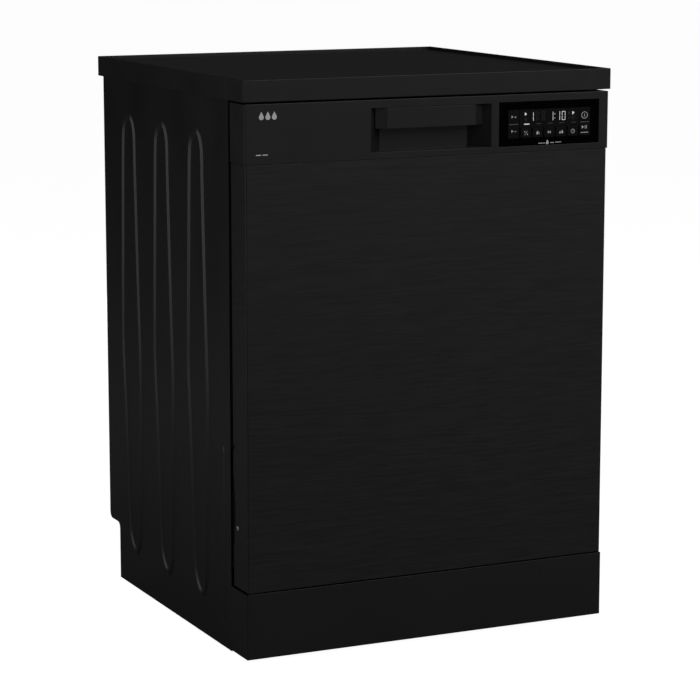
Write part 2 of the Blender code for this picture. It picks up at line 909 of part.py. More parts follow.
def pocket_prism(grow, name):
    """The hand pocket in plan: its sides lean in towards the back."""
    half, inner = POCKET_HALF + grow, POCKET_HALF - POCKET_DEEP + grow
    front = DOOR_FRONT - 0.001 if grow == 0 else DOOR_FRONT + 0.001
    back = DOOR_FRONT + POCKET_DEEP + grow
    plan = [(-half, front), (half, front), (inner, back), (-inner, back)]
    return prism(name, "black_plastic", "z", plan, POCKET_Z[0] - grow, POCKET_Z[1] + grow)


def make_fascia():
    wall = 0.0028
    face = DOOR_FRONT - 0.0003
    fascia = blocks(
        "control_panel",
        "black_plastic",
        [
            (-FASCIA_HALF, FASCIA_HALF, face, DOOR_BACK - 0.0015, FASCIA_LOW, DOOR_TOP),
            (-FASCIA_HALF, FASCIA_HALF, face + 0.010, DOOR_SIDE_BACK, DOOR_TOP - wall, DOOR_TOP),
            *both(
                [
                    (
                        FASCIA_HALF - wall,
                        FASCIA_HALF,
                        face + 0.010,
                        DOOR_SIDE_BACK,
                        FASCIA_LOW,
                        DOOR_TOP,
                    )
                ]
            ),
        ],
        [
            (
                -FASCIA_HALF + wall,
                FASCIA_HALF - wall,
                face + wall,
                DOOR_BACK - 0.0015,
                FASCIA_LOW + wall,
                DOOR_TOP - wall,
            ),
            (
                DISPLAY_X[0] - 0.0005,
                DISPLAY_X[1] + 0.0005,
                face,
                face + wall,
                DISPLAY_Z[0] - 0.0005,
                DISPLAY_Z[1] + 0.0005,
            ),
        ],
    )
    union(fascia, pocket_prism(0.002, "pocket_shell"))
    cut(fascia, pocket_prism(0.0, "pocket_space"))


def grip_outline():
    """The grip in plan: a bar flush with the fascia whose ends turn back to the pocket's sides."""
    thick = 0.0035
    outer = [(0.0880, -0.2852), (0.0880, -0.2873), (0.0720, -0.2948)]
    inner = [(0.0880 - thick, -0.2820), (0.0880 - thick, -0.2850), (0.0710, -0.2948 + thick)]
    right = [*outer]
    left = [(-x, y) for x, y in reversed(outer)]
    back = [(-x, y) for x, y in inner]
    return [*right, *left, *back, *reversed(inner)]


def make_grip():
    prism("handle_grip", "black_plastic", "z", grip_outline(), 0.7735, POCKET_Z[1] - GAP)


def key_spans():
    """Each key's name, x span and z span."""
    keys = {
        "program_key": ((0.1262, 0.1446), ROCKER_Z),
        "power_start_key": ((0.2472, 0.2656), ROCKER_Z),
    }
    for i, word in enumerate(("half_load", "extra_dry", "fast", "steam", "delay")):
        low = FIRST_OPTION_X + i * OPTION_PITCH
        keys[f"{word}_key"] = ((low, low + OPTION_WIDE), OPTION_Z)
    return keys


def make_display():
    face = DOOR_FRONT - 0.0006
    spans = key_spans()
    windows = [
        (x0 - KEY_GAP, x1 + KEY_GAP, face, face + 0.0034, z0 - KEY_GAP, z1 + KEY_GAP)
        for (x0, x1), (z0, z1) in spans.values()
    ]
    blocks(
        "display_panel",
        "display_black",
        [(*DISPLAY_X, face, face + 0.0034, *DISPLAY_Z)],
        windows,
    )
    for name, ((x0, x1), (z0, z1)) in spans.items():
        blocks(name, "key_black", [(x0, x1, face + 0.0001, face + 0.0046, z0, z1)])


def make_lock():
    blocks(
        "door_lock",
        "grey_plastic",
        [(-0.030, 0.030, -0.2655, DOOR_BACK - SHEET - GAP, 0.7870, 0.8125)],
        [(-0.0160, 0.0160, -0.2635, DOOR_BACK - SHEET - GAP, 0.7975, 0.8110)],
    )


def make_dispenser():
    """The detergent dispenser in the inner door, with its sliding lid and rinse-aid cap."""
    floor = -0.258  # the dish's face
    blocks(
        "detergent_dispenser",
        "grey_plastic",
        [
            (-0.079, 0.079, -0.2880, floor + GAP, 0.436, 0.564),
            (-0.087, 0.087, floor + GAP, floor + 0.0035, 0.428, 0.572),
        ],
        [(-0.070, -0.006, -0.2800, floor + 0.0035, 0.450, 0.550)],
    )
    lid_back = floor + 0.0035 + GAP
    blocks(
        "dispenser_lid",
        "light_plastic",
        [
            (-0.075, -0.001, lid_back, lid_back + 0.0026, 0.445, 0.555),
            (-0.012, -0.006, lid_back, lid_back + 0.0060, 0.480, 0.520),
        ],
    )
    cap = rod("y", 0.042, 0.500, 0.024, lid_back, lid_back + 0.0030, 24, "rinse_aid_cap", "light_plastic")
    union(
        cap,
        blocks("grip", "light_plastic", [(0.023, 0.061, lid_back + 0.001, lid_back + 0.0065, 0.497, 0.503)]),
    )


def make_connections():
    """What the supply pipes and the mains lead plug into at the back."""
    valve = blocks(
        "inlet_valve",
        "light_plastic",
        [(VALVE_X - 0.024, VALVE_X + 0.024, 0.190, 0.2270, 0.024, 0.066)],
    )
    union(valve, rod("y", VALVE_X, VALVE_Z, 0.0132, 0.220, 0.262, 24))
    cut(valve, rod("y", VALVE_X, VALVE_Z, 0.0095, 0.240, 0.270, 20))
    gland = blocks(
        "mains_inlet", "black_plastic", [(0.236, 0.276, BASE_BACK + GAP, 0.256, 0.022, 0.062)]
    )
    cut(gland, rod("y", 0.256, 0.042, 0.0048, 0.242, 0.260, 12))


def main():
    clear_scene()
    make_worktop()
    make_cabinet()
    make_plinth()
    make_base()
    make_feet()
    make_tub()
    make_seal()
    make_sump()
    make_pumps()
    make_softener()
    make_filters()
    make_sprays()
    make_duct()
    make_lower_rack()
    for place, y in WHEEL_YS.items():
        make_wheel(f"rack_wheel_{place}_left", -1, y)
        make_wheel(f"rack_wheel_{place}_right", 1, y)
    make_upper_rack()
    make_rails()
    make_cutlery_basket()
    make_hinges()
    make_outer_panel()
    make_liner()
    make_fascia()
    make_grip()
    make_display()
    make_lock()
    make_dispenser()
    make_connections()


main()
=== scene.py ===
"""Free-standing dishwasher with its own worktop: the finished surfaces, trims, racks and stage.

Metres. X is the width, -Y the front and Z up, with the origin on the floor under the worktop's middle.
"""

import json
import math

import bmesh
import bpy
from bpy.props import FloatProperty, FloatVectorProperty, PointerProperty
from mathutils import Matrix, Vector


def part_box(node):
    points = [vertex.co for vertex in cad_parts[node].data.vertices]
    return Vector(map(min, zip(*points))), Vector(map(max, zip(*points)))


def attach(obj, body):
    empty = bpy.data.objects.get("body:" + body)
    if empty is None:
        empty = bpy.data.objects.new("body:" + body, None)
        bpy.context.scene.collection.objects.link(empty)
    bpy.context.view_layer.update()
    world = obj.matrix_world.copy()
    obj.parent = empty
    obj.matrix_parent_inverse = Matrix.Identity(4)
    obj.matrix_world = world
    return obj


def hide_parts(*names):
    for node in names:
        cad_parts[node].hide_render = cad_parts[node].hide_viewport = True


bl_info = {
    "name": "Free-standing Dishwasher",
    "version": (1, 0, 0),
    "blender": (4, 5, 0),
    "location": "View3D > Sidebar > Dishwasher",
    "description": "Builds a dishwasher's visible pieces round its packed frame",
    "category": "Add Mesh",
}

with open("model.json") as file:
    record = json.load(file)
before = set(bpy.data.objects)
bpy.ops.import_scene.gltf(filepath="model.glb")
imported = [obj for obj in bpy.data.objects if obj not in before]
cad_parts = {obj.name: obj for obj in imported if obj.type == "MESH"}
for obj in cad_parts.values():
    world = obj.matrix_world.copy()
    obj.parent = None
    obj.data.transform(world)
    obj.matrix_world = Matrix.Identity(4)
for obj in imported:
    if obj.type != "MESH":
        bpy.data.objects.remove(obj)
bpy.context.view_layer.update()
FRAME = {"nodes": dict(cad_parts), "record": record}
MM = 0.001
MICRON = 0.000001
SLOT = {row["node"]: row["material_slot"] for row in FRAME["record"]["subparts"]}

# ---- Settings ----


def length(name, description, default, **more):
    return FloatProperty(
        name=name, description=description, default=default, unit="LENGTH", precision=4, **more
    )


def power(name, default):
    return FloatProperty(name=name, description="Power of the light", default=default, unit="POWER")


def colour(name, description, default):
    return FloatVectorProperty(
        name=name, description=description, default=default, subtype="COLOR", size=3, min=0, max=1
    )


class OutsideSettings(bpy.types.PropertyGroup):
    paint: colour("Paint", "Colour of the painted steel sides and plinth", (0.0095, 0.0095, 0.0097))
    plastic: colour("Mouldings", "Colour of the fascia and worktop trims", (0.0110, 0.0110, 0.0111))
    steel: colour("Door steel", "Colour of the coated steel door", (0.0115, 0.0115, 0.0116))
    board: colour("Worktop board", "Colour of the worktop's laminate", (0.0095, 0.0095, 0.0097))
    edge: length("Edge radius", "Rounding of the mouldings' edges", 0.0007, min=0.0001, max=0.003)
    bead_high: length("Bead height", "How far the side panels' beads stand out", 0.0024, max=0.0025)
    bead_half: length("Bead half width", "Half the width of a bead", 0.0072, min=0.003, max=0.012)


class InsideSettings(bpy.types.PropertyGroup):
    tub_corner: length("Tub corner", "Radius of the tub's pressed corners", 0.018, min=0.004, max=0.04)
    wire: length("Rack wire", "Thickness of the racks' thin wire", 0.0034, min=0.002, max=0.0042)
    rim_wire: length("Rim wire", "Thickness of the racks' rim wire", 0.0046, min=0.003, max=0.0060)


class LightSettings(bpy.types.PropertyGroup):
    key: power("Right key", 76)
    fill: power("Left key", 14)
    left: power("Left softbox", 13.5)
    right: power("Right softbox", 16)
    front: power("Front softboxes", 5)
    back: power("Back softbox", 5)
    room: FloatProperty(name="Room light", description="Light from all round", default=0.026, min=0)


def outside():
    return bpy.context.scene.dishwasher_outside


def inside():
    return bpy.context.scene.dishwasher_inside


def lamps():
    return bpy.context.scene.dishwasher_lights


# ---- Materials ----


def new_material(name):
    material = bpy.data.materials.new(name)
    material.use_nodes = True
    nodes = material.node_tree.nodes
    return material, nodes, material.node_tree.links, nodes["Principled BSDF"]


def object_noise(nodes, links, stretch, detail=3.0):
    """Noise on object coordinates: stretch is its repeats per metre, one number or one for each axis."""
    place = nodes.new("ShaderNodeTexCoord")
    scale = nodes.new("ShaderNodeMapping")
    scale.inputs["Scale"].default_value = stretch if isinstance(stretch, tuple) else (stretch,) * 3
    noise = nodes.new("ShaderNodeTexNoise")
    noise.inputs["Scale"].default_value = 1.0
    noise.inputs["Detail"].default_value = detail
    links.new(place.outputs["Object"], scale.inputs["Vector"])
    links.new(scale.outputs["Vector"], noise.inputs["Vector"])
    return noise.outputs["Fac"]


def spread(nodes, links, value, low, high, start=0.3, end=0.7):
    """A 0 to 1 value spread over low to high."""
    remap = nodes.new("ShaderNodeMapRange")
    for socket, number in zip(("From Min", "From Max", "To Min", "To Max"), (start, end, low, high)):
        remap.inputs[socket].default_value = number
    links.new(value, remap.inputs["Value"])
    return remap.outputs["Result"]


def tint(nodes, links, value, color, amount):
    """Darker and lighter versions of a colour, mixed by a 0 to 1 value."""
    mix = nodes.new("ShaderNodeMix")
    mix.data_type = "RGBA"
    links.new(spread(nodes, links, value, 0.0, 1.0), mix.inputs["Factor"])
    mix.inputs["A"].default_value = (*[c * (1 - amount) for c in color], 1)
    mix.inputs["B"].default_value = (*[min(1.0, c * (1 + amount)) for c in color], 1)
    return mix.outputs["Result"]


def surface(name, color, roughness, specular, metallic, tone, gloss, relief):
    """A procedural finish: slow changes of tone and gloss, and a fine relief. Each holds its repeats
    per metre, then tone its amount and detail, gloss its amount, and relief its micrometres and detail."""
    material, nodes, links, shader = new_material(name)
    shader.inputs["Metallic"].default_value = metallic
    shader.inputs["Specular IOR Level"].default_value = specular
    stretch, amount, detail = tone
    shade = tint(nodes, links, object_noise(nodes, links, stretch, detail), color, amount)
    links.new(shade, shader.inputs["Base Color"])
    stretch, amount = gloss
    shine = object_noise(nodes, links, stretch)
    links.new(spread(nodes, links, shine, roughness - amount, roughness + amount), shader.inputs["Roughness"])
    stretch, depth, detail = relief
    bump = nodes.new("ShaderNodeBump")
    bump.inputs["Distance"].default_value = depth * MICRON
    links.new(object_noise(nodes, links, stretch, detail), bump.inputs["Height"])
    links.new(bump.outputs["Normal"], shader.inputs["Normal"])
    return material


def glowing_mark(name, color, strength):
    """A mark that glows by emission: on the display its own light, on printed marks a painted glow."""
    material, nodes, links, shader = new_material(name)
    glow = object_noise(nodes, links, (60, 60, 60))
    links.new(tint(nodes, links, glow, color, 0.06), shader.inputs["Emission Color"])
    links.new(tint(nodes, links, glow, color, 0.06), shader.inputs["Base Color"])
    shader.inputs["Emission Strength"].default_value = strength
    shader.inputs["Roughness"].default_value = 0.4
    return material


def make_finishes():
    """Every finish by its slot: colour, roughness, specular, metallic, tone, gloss and relief."""
    out = outside()
    surfaces = {
        "black_paint": ("Satin black paint", out.paint, 0.34, 0.42, 0,
            (7, 0.1, 4), ((11, 11, 5), 0.03), (420, 10, 1)),
        "black_plastic": ("Satin black moulding", out.plastic, 0.36, 0.36, 0,
            (16, 0.1, 4), (20, 0.03), (1600, 12, 2)),
        "laminate": ("Black worktop laminate", out.board, 0.3, 0.42, 0,
            (420, 0.12, 4), (260, 0.02), (1100, 18, 3)),
        "black_steel": ("Brushed black steel", out.steel, 0.36, 0.4, 0,
            ((18, 18, 560), 0.42, 3), ((16, 16, 420), 0.04), ((5, 5, 1400), 12, 2)),
        "display_black": ("Gloss black display", (0.0006, 0.0006, 0.0006), 0.12, 0.02, 0,
            (8, 0.1, 2), (9, 0.02), (90, 3, 1)),
        "key_black": ("Key black", (0.0045, 0.0045, 0.0046), 0.3, 0.12, 0,
            (120, 0.12, 2), (60, 0.03), (2400, 8, 1)),
        "stainless": ("Stainless steel sheet", (0.62, 0.62, 0.61), 0.36, 0.5, 0.8,
            ((3, 3, 240), 0.05, 4), ((4, 4, 180), 0.03), ((6, 6, 1500), 7, 2)),
        "zinc": ("Galvanised steel", (0.48, 0.49, 0.5), 0.48, 0.5, 0.6,
            (55, 0.1, 2), (70, 0.04), (500, 12, 2)),
        "rack_coating": ("Grey nylon coating", (0.2, 0.21, 0.225), 0.38, 0.45, 0,
            (40, 0.08, 2), (50, 0.04), (1200, 10, 2)),
        "grey_plastic": ("Grey moulding", (0.16, 0.165, 0.175), 0.45, 0.4, 0,
            (14, 0.1, 3), (22, 0.05), (1500, 20, 2)),
        "light_plastic": ("Light grey moulding", (0.46, 0.48, 0.5), 0.4, 0.42, 0,
            (18, 0.06, 3), (22, 0.05), (1500, 15, 2)),
        "rubber": ("Black rubber", (0.012, 0.012, 0.012), 0.72, 0.3, 0,
            (60, 0.25, 4), (50, 0.08), (800, 50, 4)),
        # shadow is painted shade: dark patches put where holes, slots and recesses would show only shade
        "shadow": ("Painted shade in openings", (0.006, 0.006, 0.006), 0.8, 0.1, 0,
            (60, 0.2, 2), (50, 0.05), (600, 10, 2)),
    }
    # lit and faint glow as the display's own light; the grey line and the light printed marks glow with painted light
    marks = {
        "lit": ("Lit mark", (0.34, 0.35, 0.37), 1.3),
        "faint": ("Faint printed mark", (0.06, 0.06, 0.062), 0.02),
        "ghost": ("Unlit sign", (0.014, 0.014, 0.0145), 0.01),
        "line": ("Grey line with painted glow", (0.09, 0.09, 0.092), 0.12),
        "print_and_glow": ("Printed mark with painted glow", (0.26, 0.265, 0.27), 0.55),
    }
    finishes = {slot: surface(*values) for slot, values in surfaces.items()}
    return finishes | {slot: glowing_mark(*values) for slot, values in marks.items()}


FINISH = {}


def give_finish(obj, name):
    obj.data.materials.clear()
    obj.data.materials.append(FINISH[name])
    return obj


# ---- Mesh helpers ----


def shade(obj, angle):
    """Smooth shading, sharp at edges steeper than the angle in degrees."""
    obj.data.shade_smooth()
    obj.data.set_sharp_from_angle(angle=math.radians(angle))


def settle(obj, body, replaced):
    """Sets a piece riding on a body, standing for the CAD nodes it replaces."""
    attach(obj, body)
    if replaced:
        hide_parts(*replaced)
    return obj


def add_piece(
    name, bm, finish, body, replaced=(), smooth=30.0, wall=0.0, edge=0.0, steps=2, cutter=None, weighted=False
):
    """A piece from a bmesh: wall gives a sheet its thickness, cutter is drilled out of it and edge
    rounds its sharp edges, or with weighted each edge by its own bevel weight."""
    obj = plain_object(name, bm)
    if wall:
        sheet = obj.modifiers.new("thickness", "SOLIDIFY")
        sheet.thickness = wall
        sheet.offset = -1
        made_plain(obj)
    if cutter:
        drill = plain_object("drill", cutter)
        hole = obj.modifiers.new("holes", "BOOLEAN")
        hole.object = drill
        hole.solver = "EXACT"
        made_plain(obj)
        bpy.data.objects.remove(drill)
    if edge:
        rounding = obj.modifiers.new("edge", "BEVEL")
        rounding.width = edge
        rounding.segments = steps
        rounding.limit_method = "WEIGHT" if weighted else "ANGLE"
        rounding.angle_limit = math.radians(25)
        made_plain(obj)
    shade(obj, smooth)
    shading = obj.modifiers.new("shading", "WEIGHTED_NORMAL")
    shading.keep_sharp = True
    made_plain(obj)
    give_finish(obj, finish)
    return settle(obj, body, replaced)


def plain_object(name, bm):
    mesh = bpy.data.meshes.new(name)
    bm.to_mesh(mesh)
    bm.free()
    obj = bpy.data.objects.new(name, mesh)
    bpy.context.scene.collection.objects.link(obj)
    return obj


def made_plain(obj):
    """Turns an object's modifiers into its own mesh."""
    bpy.context.view_layer.update()
    graph = bpy.context.evaluated_depsgraph_get()
    obj.data = bpy.data.meshes.new_from_object(obj.evaluated_get(graph))
    obj.modifiers.clear()
    return obj


def node_mesh(node):
    """A merged copy of a CAD node's mesh, its flat faces whole again."""
    bm = bmesh.new()
    bm.from_mesh(FRAME["nodes"][node].data)
    bmesh.ops.remove_doubles(bm, verts=bm.verts[:], dist=1e-6)
    bmesh.ops.dissolve_limit(bm, angle_limit=math.radians(0.3), verts=bm.verts[:], edges=bm.edges[:])
    return bm


def placed(axis, u, v, along):
    point = [u, v]
    point.insert("xyz".index(axis), along)
    return point


def arc(u, v, radius, start, end, steps):
    """Points on a circle from one angle to another, in degrees."""
    turns = [math.radians(start + (end - start) * i / steps) for i in range(steps + 1)]
    return [(u + radius * math.cos(t), v + radius * math.sin(t)) for t in turns]


def circle(u, v, radius, steps=32, start=0.0):
    """Points evenly round a circle; start turns them by a part of a step."""
    turns = [math.tau * (i + start) / steps for i in range(steps)]
    return [(u + radius * math.cos(t), v + radius * math.sin(t)) for t in turns]


def rectangle(u0, u1, v0, v1):
    return [(u0, v0), (u1, v0), (u1, v1), (u0, v1)]


def rounded_outline(u0, u1, v0, v1, radius, steps=6, inset=0.0):
    """A rectangle with round corners, drawn in by inset."""
    shift = radius
    radius -= inset
    points = []
    for u, v, start in (
        (u1 - shift, v1 - shift, 0),
        (u0 + shift, v1 - shift, 90),
        (u0 + shift, v0 + shift, 180),
        (u1 - shift, v0 + shift, 270),
    ):
        points += arc(u, v, radius, start, start + 90, steps)
    return points


def span(side, near, far):
    """Two distances from the middle as a low and a high X on one side."""
    return sorted((side * near, side * far))


def outwards(bm):
    """Turns every face outwards."""
    bmesh.ops.recalc_face_normals(bm, faces=bm.faces[:])
    return bm


def slab(bm, axis, outline, low, high, holes=()):
    """Adds an outline across an axis, with holes in it, drawn out from low to high."""
    part = bmesh.new()
    for loop in (outline, *holes):
        ring = [part.verts.new(placed(axis, u, v, low)) for u, v in loop]
        for pair in zip(ring, ring[1:] + ring[:1]):
            part.edges.new(pair)
    if holes:
        bmesh.ops.triangle_fill(part, use_beauty=True, use_dissolve=False, edges=part.edges[:])
    else:
        part.faces.new(part.verts[:])
    raised = bmesh.ops.extrude_face_region(part, geom=part.faces[:])["geom"]
    verts = [v for v in raised if isinstance(v, bmesh.types.BMVert)]
    bmesh.ops.translate(part, vec=placed(axis, 0, 0, high - low), verts=verts)
    merge(bm, outwards(part))
    return bm


def merge(bm, part):
    """Adds part's mesh to bm."""
    mesh = bpy.data.meshes.new("part")
    part.to_mesh(mesh)
    part.free()
    bm.from_mesh(mesh)
    bpy.data.meshes.remove(mesh)


def bridge(bm, rings, closed=True):
    """Joins point rings of one length into a tube wall; rings hold BMVerts."""
    for outer, inner in zip(rings, rings[1:]):
        count = len(outer)
        for i in range(count if closed else count - 1):
            j = (i + 1) % count
            bm.faces.new((outer[i], outer[j], inner[j], inner[i]))


def softened(node, radius, steps=2, smooth=30.0, extra=None, corner=None, lower=0.0):
    """A CAD node with its edges rounded, in the node's place, with any extra shapes added to it.
    corner is a larger radius for its upright front corners, and lower moves its bottom down."""
    bm = node_mesh(node)
    bottom = min(v.co.z for v in bm.verts)
    for vert in bm.verts:
        if vert.co.z < bottom + 0.0001:
            vert.co.z -= lower
    if extra:
        merge(bm, extra)
    if corner:
        weight = bm.edges.layers.float.new("bevel_weight_edge")
        front = min(v.co.y for v in bm.verts) + 0.0001
        side = max(v.co.x for v in bm.verts) - 0.0001
        for edge in bm.edges:
            if len(edge.link_faces) == 2 and edge.calc_face_angle(0) > 0.4:
                a, b = (v.co for v in edge.verts)
                upright = abs(a.x - b.x) < 0.001 and all(p.y < front and abs(p.x) > side for p in (a, b))
                edge[weight] = 1.0 if upright else radius / corner
        radius = corner
    return add_piece(
        f"{node}_shaped", bm, SLOT[node], body_of_node(node), (node,), smooth,
        edge=radius, steps=steps, weighted=bool(corner),
    )


def loft(bm, rings, closed=True):
    """A wall through rings of points."""
    made = [[bm.verts.new(point) for point in ring] for ring in rings]
    bridge(bm, made, closed)
    return made


def turned(axis, u, v, profile, steps=32):
    """A turned shape from (radius, height along the axis) pairs, closed at its ends."""
    part = bmesh.new()
    made = loft(part, [[placed(axis, *p, h) for p in circle(u, v, max(r, 1e-5), steps)] for r, h in profile])
    part.faces.new(made[0])
    part.faces.new(made[-1])
    return outwards(part)


def fill_between(bm, loops):
    """Fills the flat space between closed rings of BMVerts."""
    edges = []
    for ring in loops:
        for pair in zip(ring, ring[1:] + ring[:1]):
            edges.append(bm.edges.get(pair) or bm.edges.new(pair))
    bmesh.ops.triangle_fill(bm, use_beauty=True, use_dissolve=False, edges=edges)


def face_towards(bm, axis, sign):
    """Turns a sheet's faces so that its flat parts look along an axis."""
    total = sum(f.normal["xyz".index(axis)] * f.calc_area() for f in outwards(bm).faces)
    if total * sign < 0:
        bmesh.ops.reverse_faces(bm, faces=bm.faces[:])


# ---- Geometry Nodes ----


CIRCLE = "GeometryNodeCurvePrimitiveCircle"
SKIN = ("GeometryNodeCurveToMesh", {"Fill Caps": True})
# Each tree: its name, its inputs, its nodes with their settings, and its links. The last link's
# source is its result.
TREE_PLANS = {
    # Round wire along every edge path of a mesh
    "wire": (
        "Bent wire",
        {"Radius": "Float", "Sides": "Int"},
        {"path": ("GeometryNodeMeshToCurve", {}), "ring": (CIRCLE, {}), "skin": SKIN},
        (
            ("given", "Geometry", "path", "Mesh"), ("given", "Sides", "ring", "Resolution"),
            ("given", "Radius", "ring", "Radius"), ("path", "Curve", "skin", "Curve"),
            ("ring", "Curve", "skin", "Profile Curve"), ("skin", "Mesh", "real", "Geometry"),
        ),
    ),
    # One small shape set at every point of a mesh, its Z axis along the point's facing
    "repeat": (
        "Repeated shape",
        {"Shape": "Object"},
        {
            "shape": ("GeometryNodeObjectInfo", {}),
            "facing": ("GeometryNodeInputNamedAttribute", {"data_type": "FLOAT_VECTOR", "Name": "facing"}),
            "turn": ("FunctionNodeAlignRotationToVector", {"axis": "Z"}),
            "put": ("GeometryNodeInstanceOnPoints", {}),
        },
        (
            ("given", "Shape", "shape", "Object"), ("given", "Geometry", "put", "Points"),
            ("shape", "Geometry", "put", "Instance"), ("facing", "Attribute", "turn", "Vector"),
            ("turn", "Rotation", "put", "Rotation"), ("put", "Instances", "real", "Geometry"),
        ),
    ),
    # A wire coil from end to end, drawn along its Z axis
    "coil": (
        "Coil",
        {"Coil radius": "Float", "Wire radius": "Float", "Turns": "Float", "Length": "Float"},
        {"spiral": ("GeometryNodeCurveSpiral", {"Resolution": 14}), "ring": (CIRCLE, {"Resolution": 6}), "skin": SKIN},
        (
            ("given", "Coil radius", "spiral", "Start Radius"), ("given", "Coil radius", "spiral", "End Radius"),
            ("given", "Turns", "spiral", "Rotations"), ("given", "Length", "spiral", "Height"),
            ("given", "Wire radius", "ring", "Radius"), ("spiral", "Curve", "skin", "Curve"),
            ("ring", "Curve", "skin", "Profile Curve"), ("skin", "Mesh", "real", "Geometry"),
        ),
    ),
}


def make_tree(name, inputs, parts, links):
    """A tree from its plan, ending in real geometry with its material."""
    tree = bpy.data.node_groups.new(name, "GeometryNodeTree")
    for label, kind in {"Geometry": "Geometry", **inputs, "Material": "Material"}.items():
        tree.interface.new_socket(label, in_out="INPUT", socket_type=f"NodeSocket{kind}")
    tree.interface.new_socket("Geometry", in_out="OUTPUT", socket_type="NodeSocketGeometry")
    nodes = {"given": tree.nodes.new("NodeGroupInput"), "output": tree.nodes.new("NodeGroupOutput")}
    ends = {"real": ("GeometryNodeRealizeInstances", {}), "paint": ("GeometryNodeSetMaterial", {})}
    for key, (kind, values) in {**parts, **ends}.items():
        node = nodes[key] = tree.nodes.new(kind)
        for label, value in values.items():
            if label in node.inputs:
                node.inputs[label].default_value = value
            else:
                setattr(node, label, value)
    finish = (
        ("real", "Geometry", "paint", "Geometry"), ("given", "Material", "paint", "Material"),
        ("paint", "Geometry", "output", "Geometry"),
    )
    for source, result, target, socket in links + finish:
        tree.links.new(nodes[source].outputs[result], nodes[target].inputs[socket])
    return tree


TREES = {}


def grown(obj, kind, finish, body, replaced=(), place=None, smooth=40.0, **values):
    """Runs a tree on an object and leaves its result as the object's own plain mesh."""
    if kind not in TREES:
        TREES[kind] = make_tree(*TREE_PLANS[kind])
    modifier = obj.modifiers.new(kind, "NODES")
    modifier.node_group = TREES[kind]
    values["Material"] = FINISH[finish]
    for item in TREES[kind].interface.items_tree:
        if item.in_out == "INPUT" and item.name in values:
            modifier[item.identifier] = values[item.name]
    made_plain(obj)
    if place:
        obj.data.transform(place)
    shade(obj, smooth)
    return settle(obj, body, replaced)


def wires(name, paths, radius, finish, body, replaced=(), sides=8):
    """Bent wires along paths of points; a path whose ends meet is a closed loop."""
    bm = bmesh.new()
    for path in paths:
        looped = path[0] == path[-1]
        verts = [bm.verts.new(point) for point in (path[:-1] if looped else path)]
        for start, end in zip(verts, verts[1:]):
            bm.edges.new((start, end))
        if looped:
            bm.edges.new((verts[-1], verts[0]))
    return grown(plain_object(name, bm), "wire", finish, body, replaced, Radius=radius, Sides=sides)


def repeated(name, shape, spots, finish, body):
    """Copies of a shape at (place, facing) spots."""
    mesh = bpy.data.meshes.new(name)
    mesh.from_pydata([place for place, _ in spots], [], [])
    facing = mesh.attributes.new("facing", "FLOAT_VECTOR", "POINT")
    for item, (_, towards) in zip(facing.data, spots):
        item.vector = towards
    obj = bpy.data.objects.new(name, mesh)
    bpy.context.scene.collection.objects.link(obj)
    pattern = plain_object("pattern", shape)
    pattern.data.shade_smooth()
    grown(obj, "repeat", finish, body, Shape=pattern)
    bpy.data.objects.remove(pattern)
    return obj


def body_of_node(node):
    for body, nodes in FRAME["record"]["behaviour"]["bodies"].items():
        if node in nodes:
            return body
    raise ValueError(f"no body holds {node}")


# ---- Stage ----

CAMERA_PLACE = (-1.739, -3.7005, 1.1214)
CAMERA_TOWARDS = (0.42027, 0.89046, -0.17450)
CAMERA_LENS = 135.24


def area_light(name, place, target, size, power):
    data = bpy.data.lights.new(name, "AREA")
    data.shape = "RECTANGLE"
    data.size, data.size_y = size
    data.energy = power
    obj = bpy.data.objects.new(name, data)
    obj.location = place
    obj.rotation_euler = (Vector(target) - Vector(place)).to_track_quat("-Z", "Y").to_euler()
    bpy.context.scene.collection.objects.link(obj)


def make_floor():
    bm = bmesh.new()
    bmesh.ops.create_grid(bm, x_segments=2, y_segments=2, size=40)
    bmesh.ops.translate(bm, vec=(0, 0, -0.0005), verts=bm.verts[:])
    mesh = bpy.data.meshes.new("floor")
    bm.to_mesh(mesh)
    bm.free()
    floor = bpy.data.objects.new("floor", mesh)
    bpy.context.scene.collection.objects.link(floor)
    material, nodes, links, shader = new_material("Studio floor")
    shader.inputs["Base Color"].default_value = (0.27, 0.27, 0.27, 1)
    shader.inputs["Roughness"].default_value = 0.9
    shader.inputs["Specular IOR Level"].default_value = 0.0
    shader.inputs["Emission Color"].default_value = (1, 1, 1, 1)
    rays = nodes.new("ShaderNodeLightPath")
    links.new(
        spread(nodes, links, rays.outputs["Is Camera Ray"], 0.0, 0.97, 0.0, 1.0),
        shader.inputs["Emission Strength"],
    )
    mesh.materials.append(material)


def make_world():
    scene = bpy.context.scene
    world = bpy.data.worlds.new("Studio")
    scene.world = world
    world.use_nodes = True
    nodes, links = world.node_tree.nodes, world.node_tree.links
    background = nodes["Background"]
    background.inputs["Color"].default_value = (1, 1, 1, 1)
    rays = nodes.new("ShaderNodeLightPath")
    links.new(
        spread(nodes, links, rays.outputs["Is Camera Ray"], lamps().room, 1.0, 0.0, 1.0),
        background.inputs["Strength"],
    )


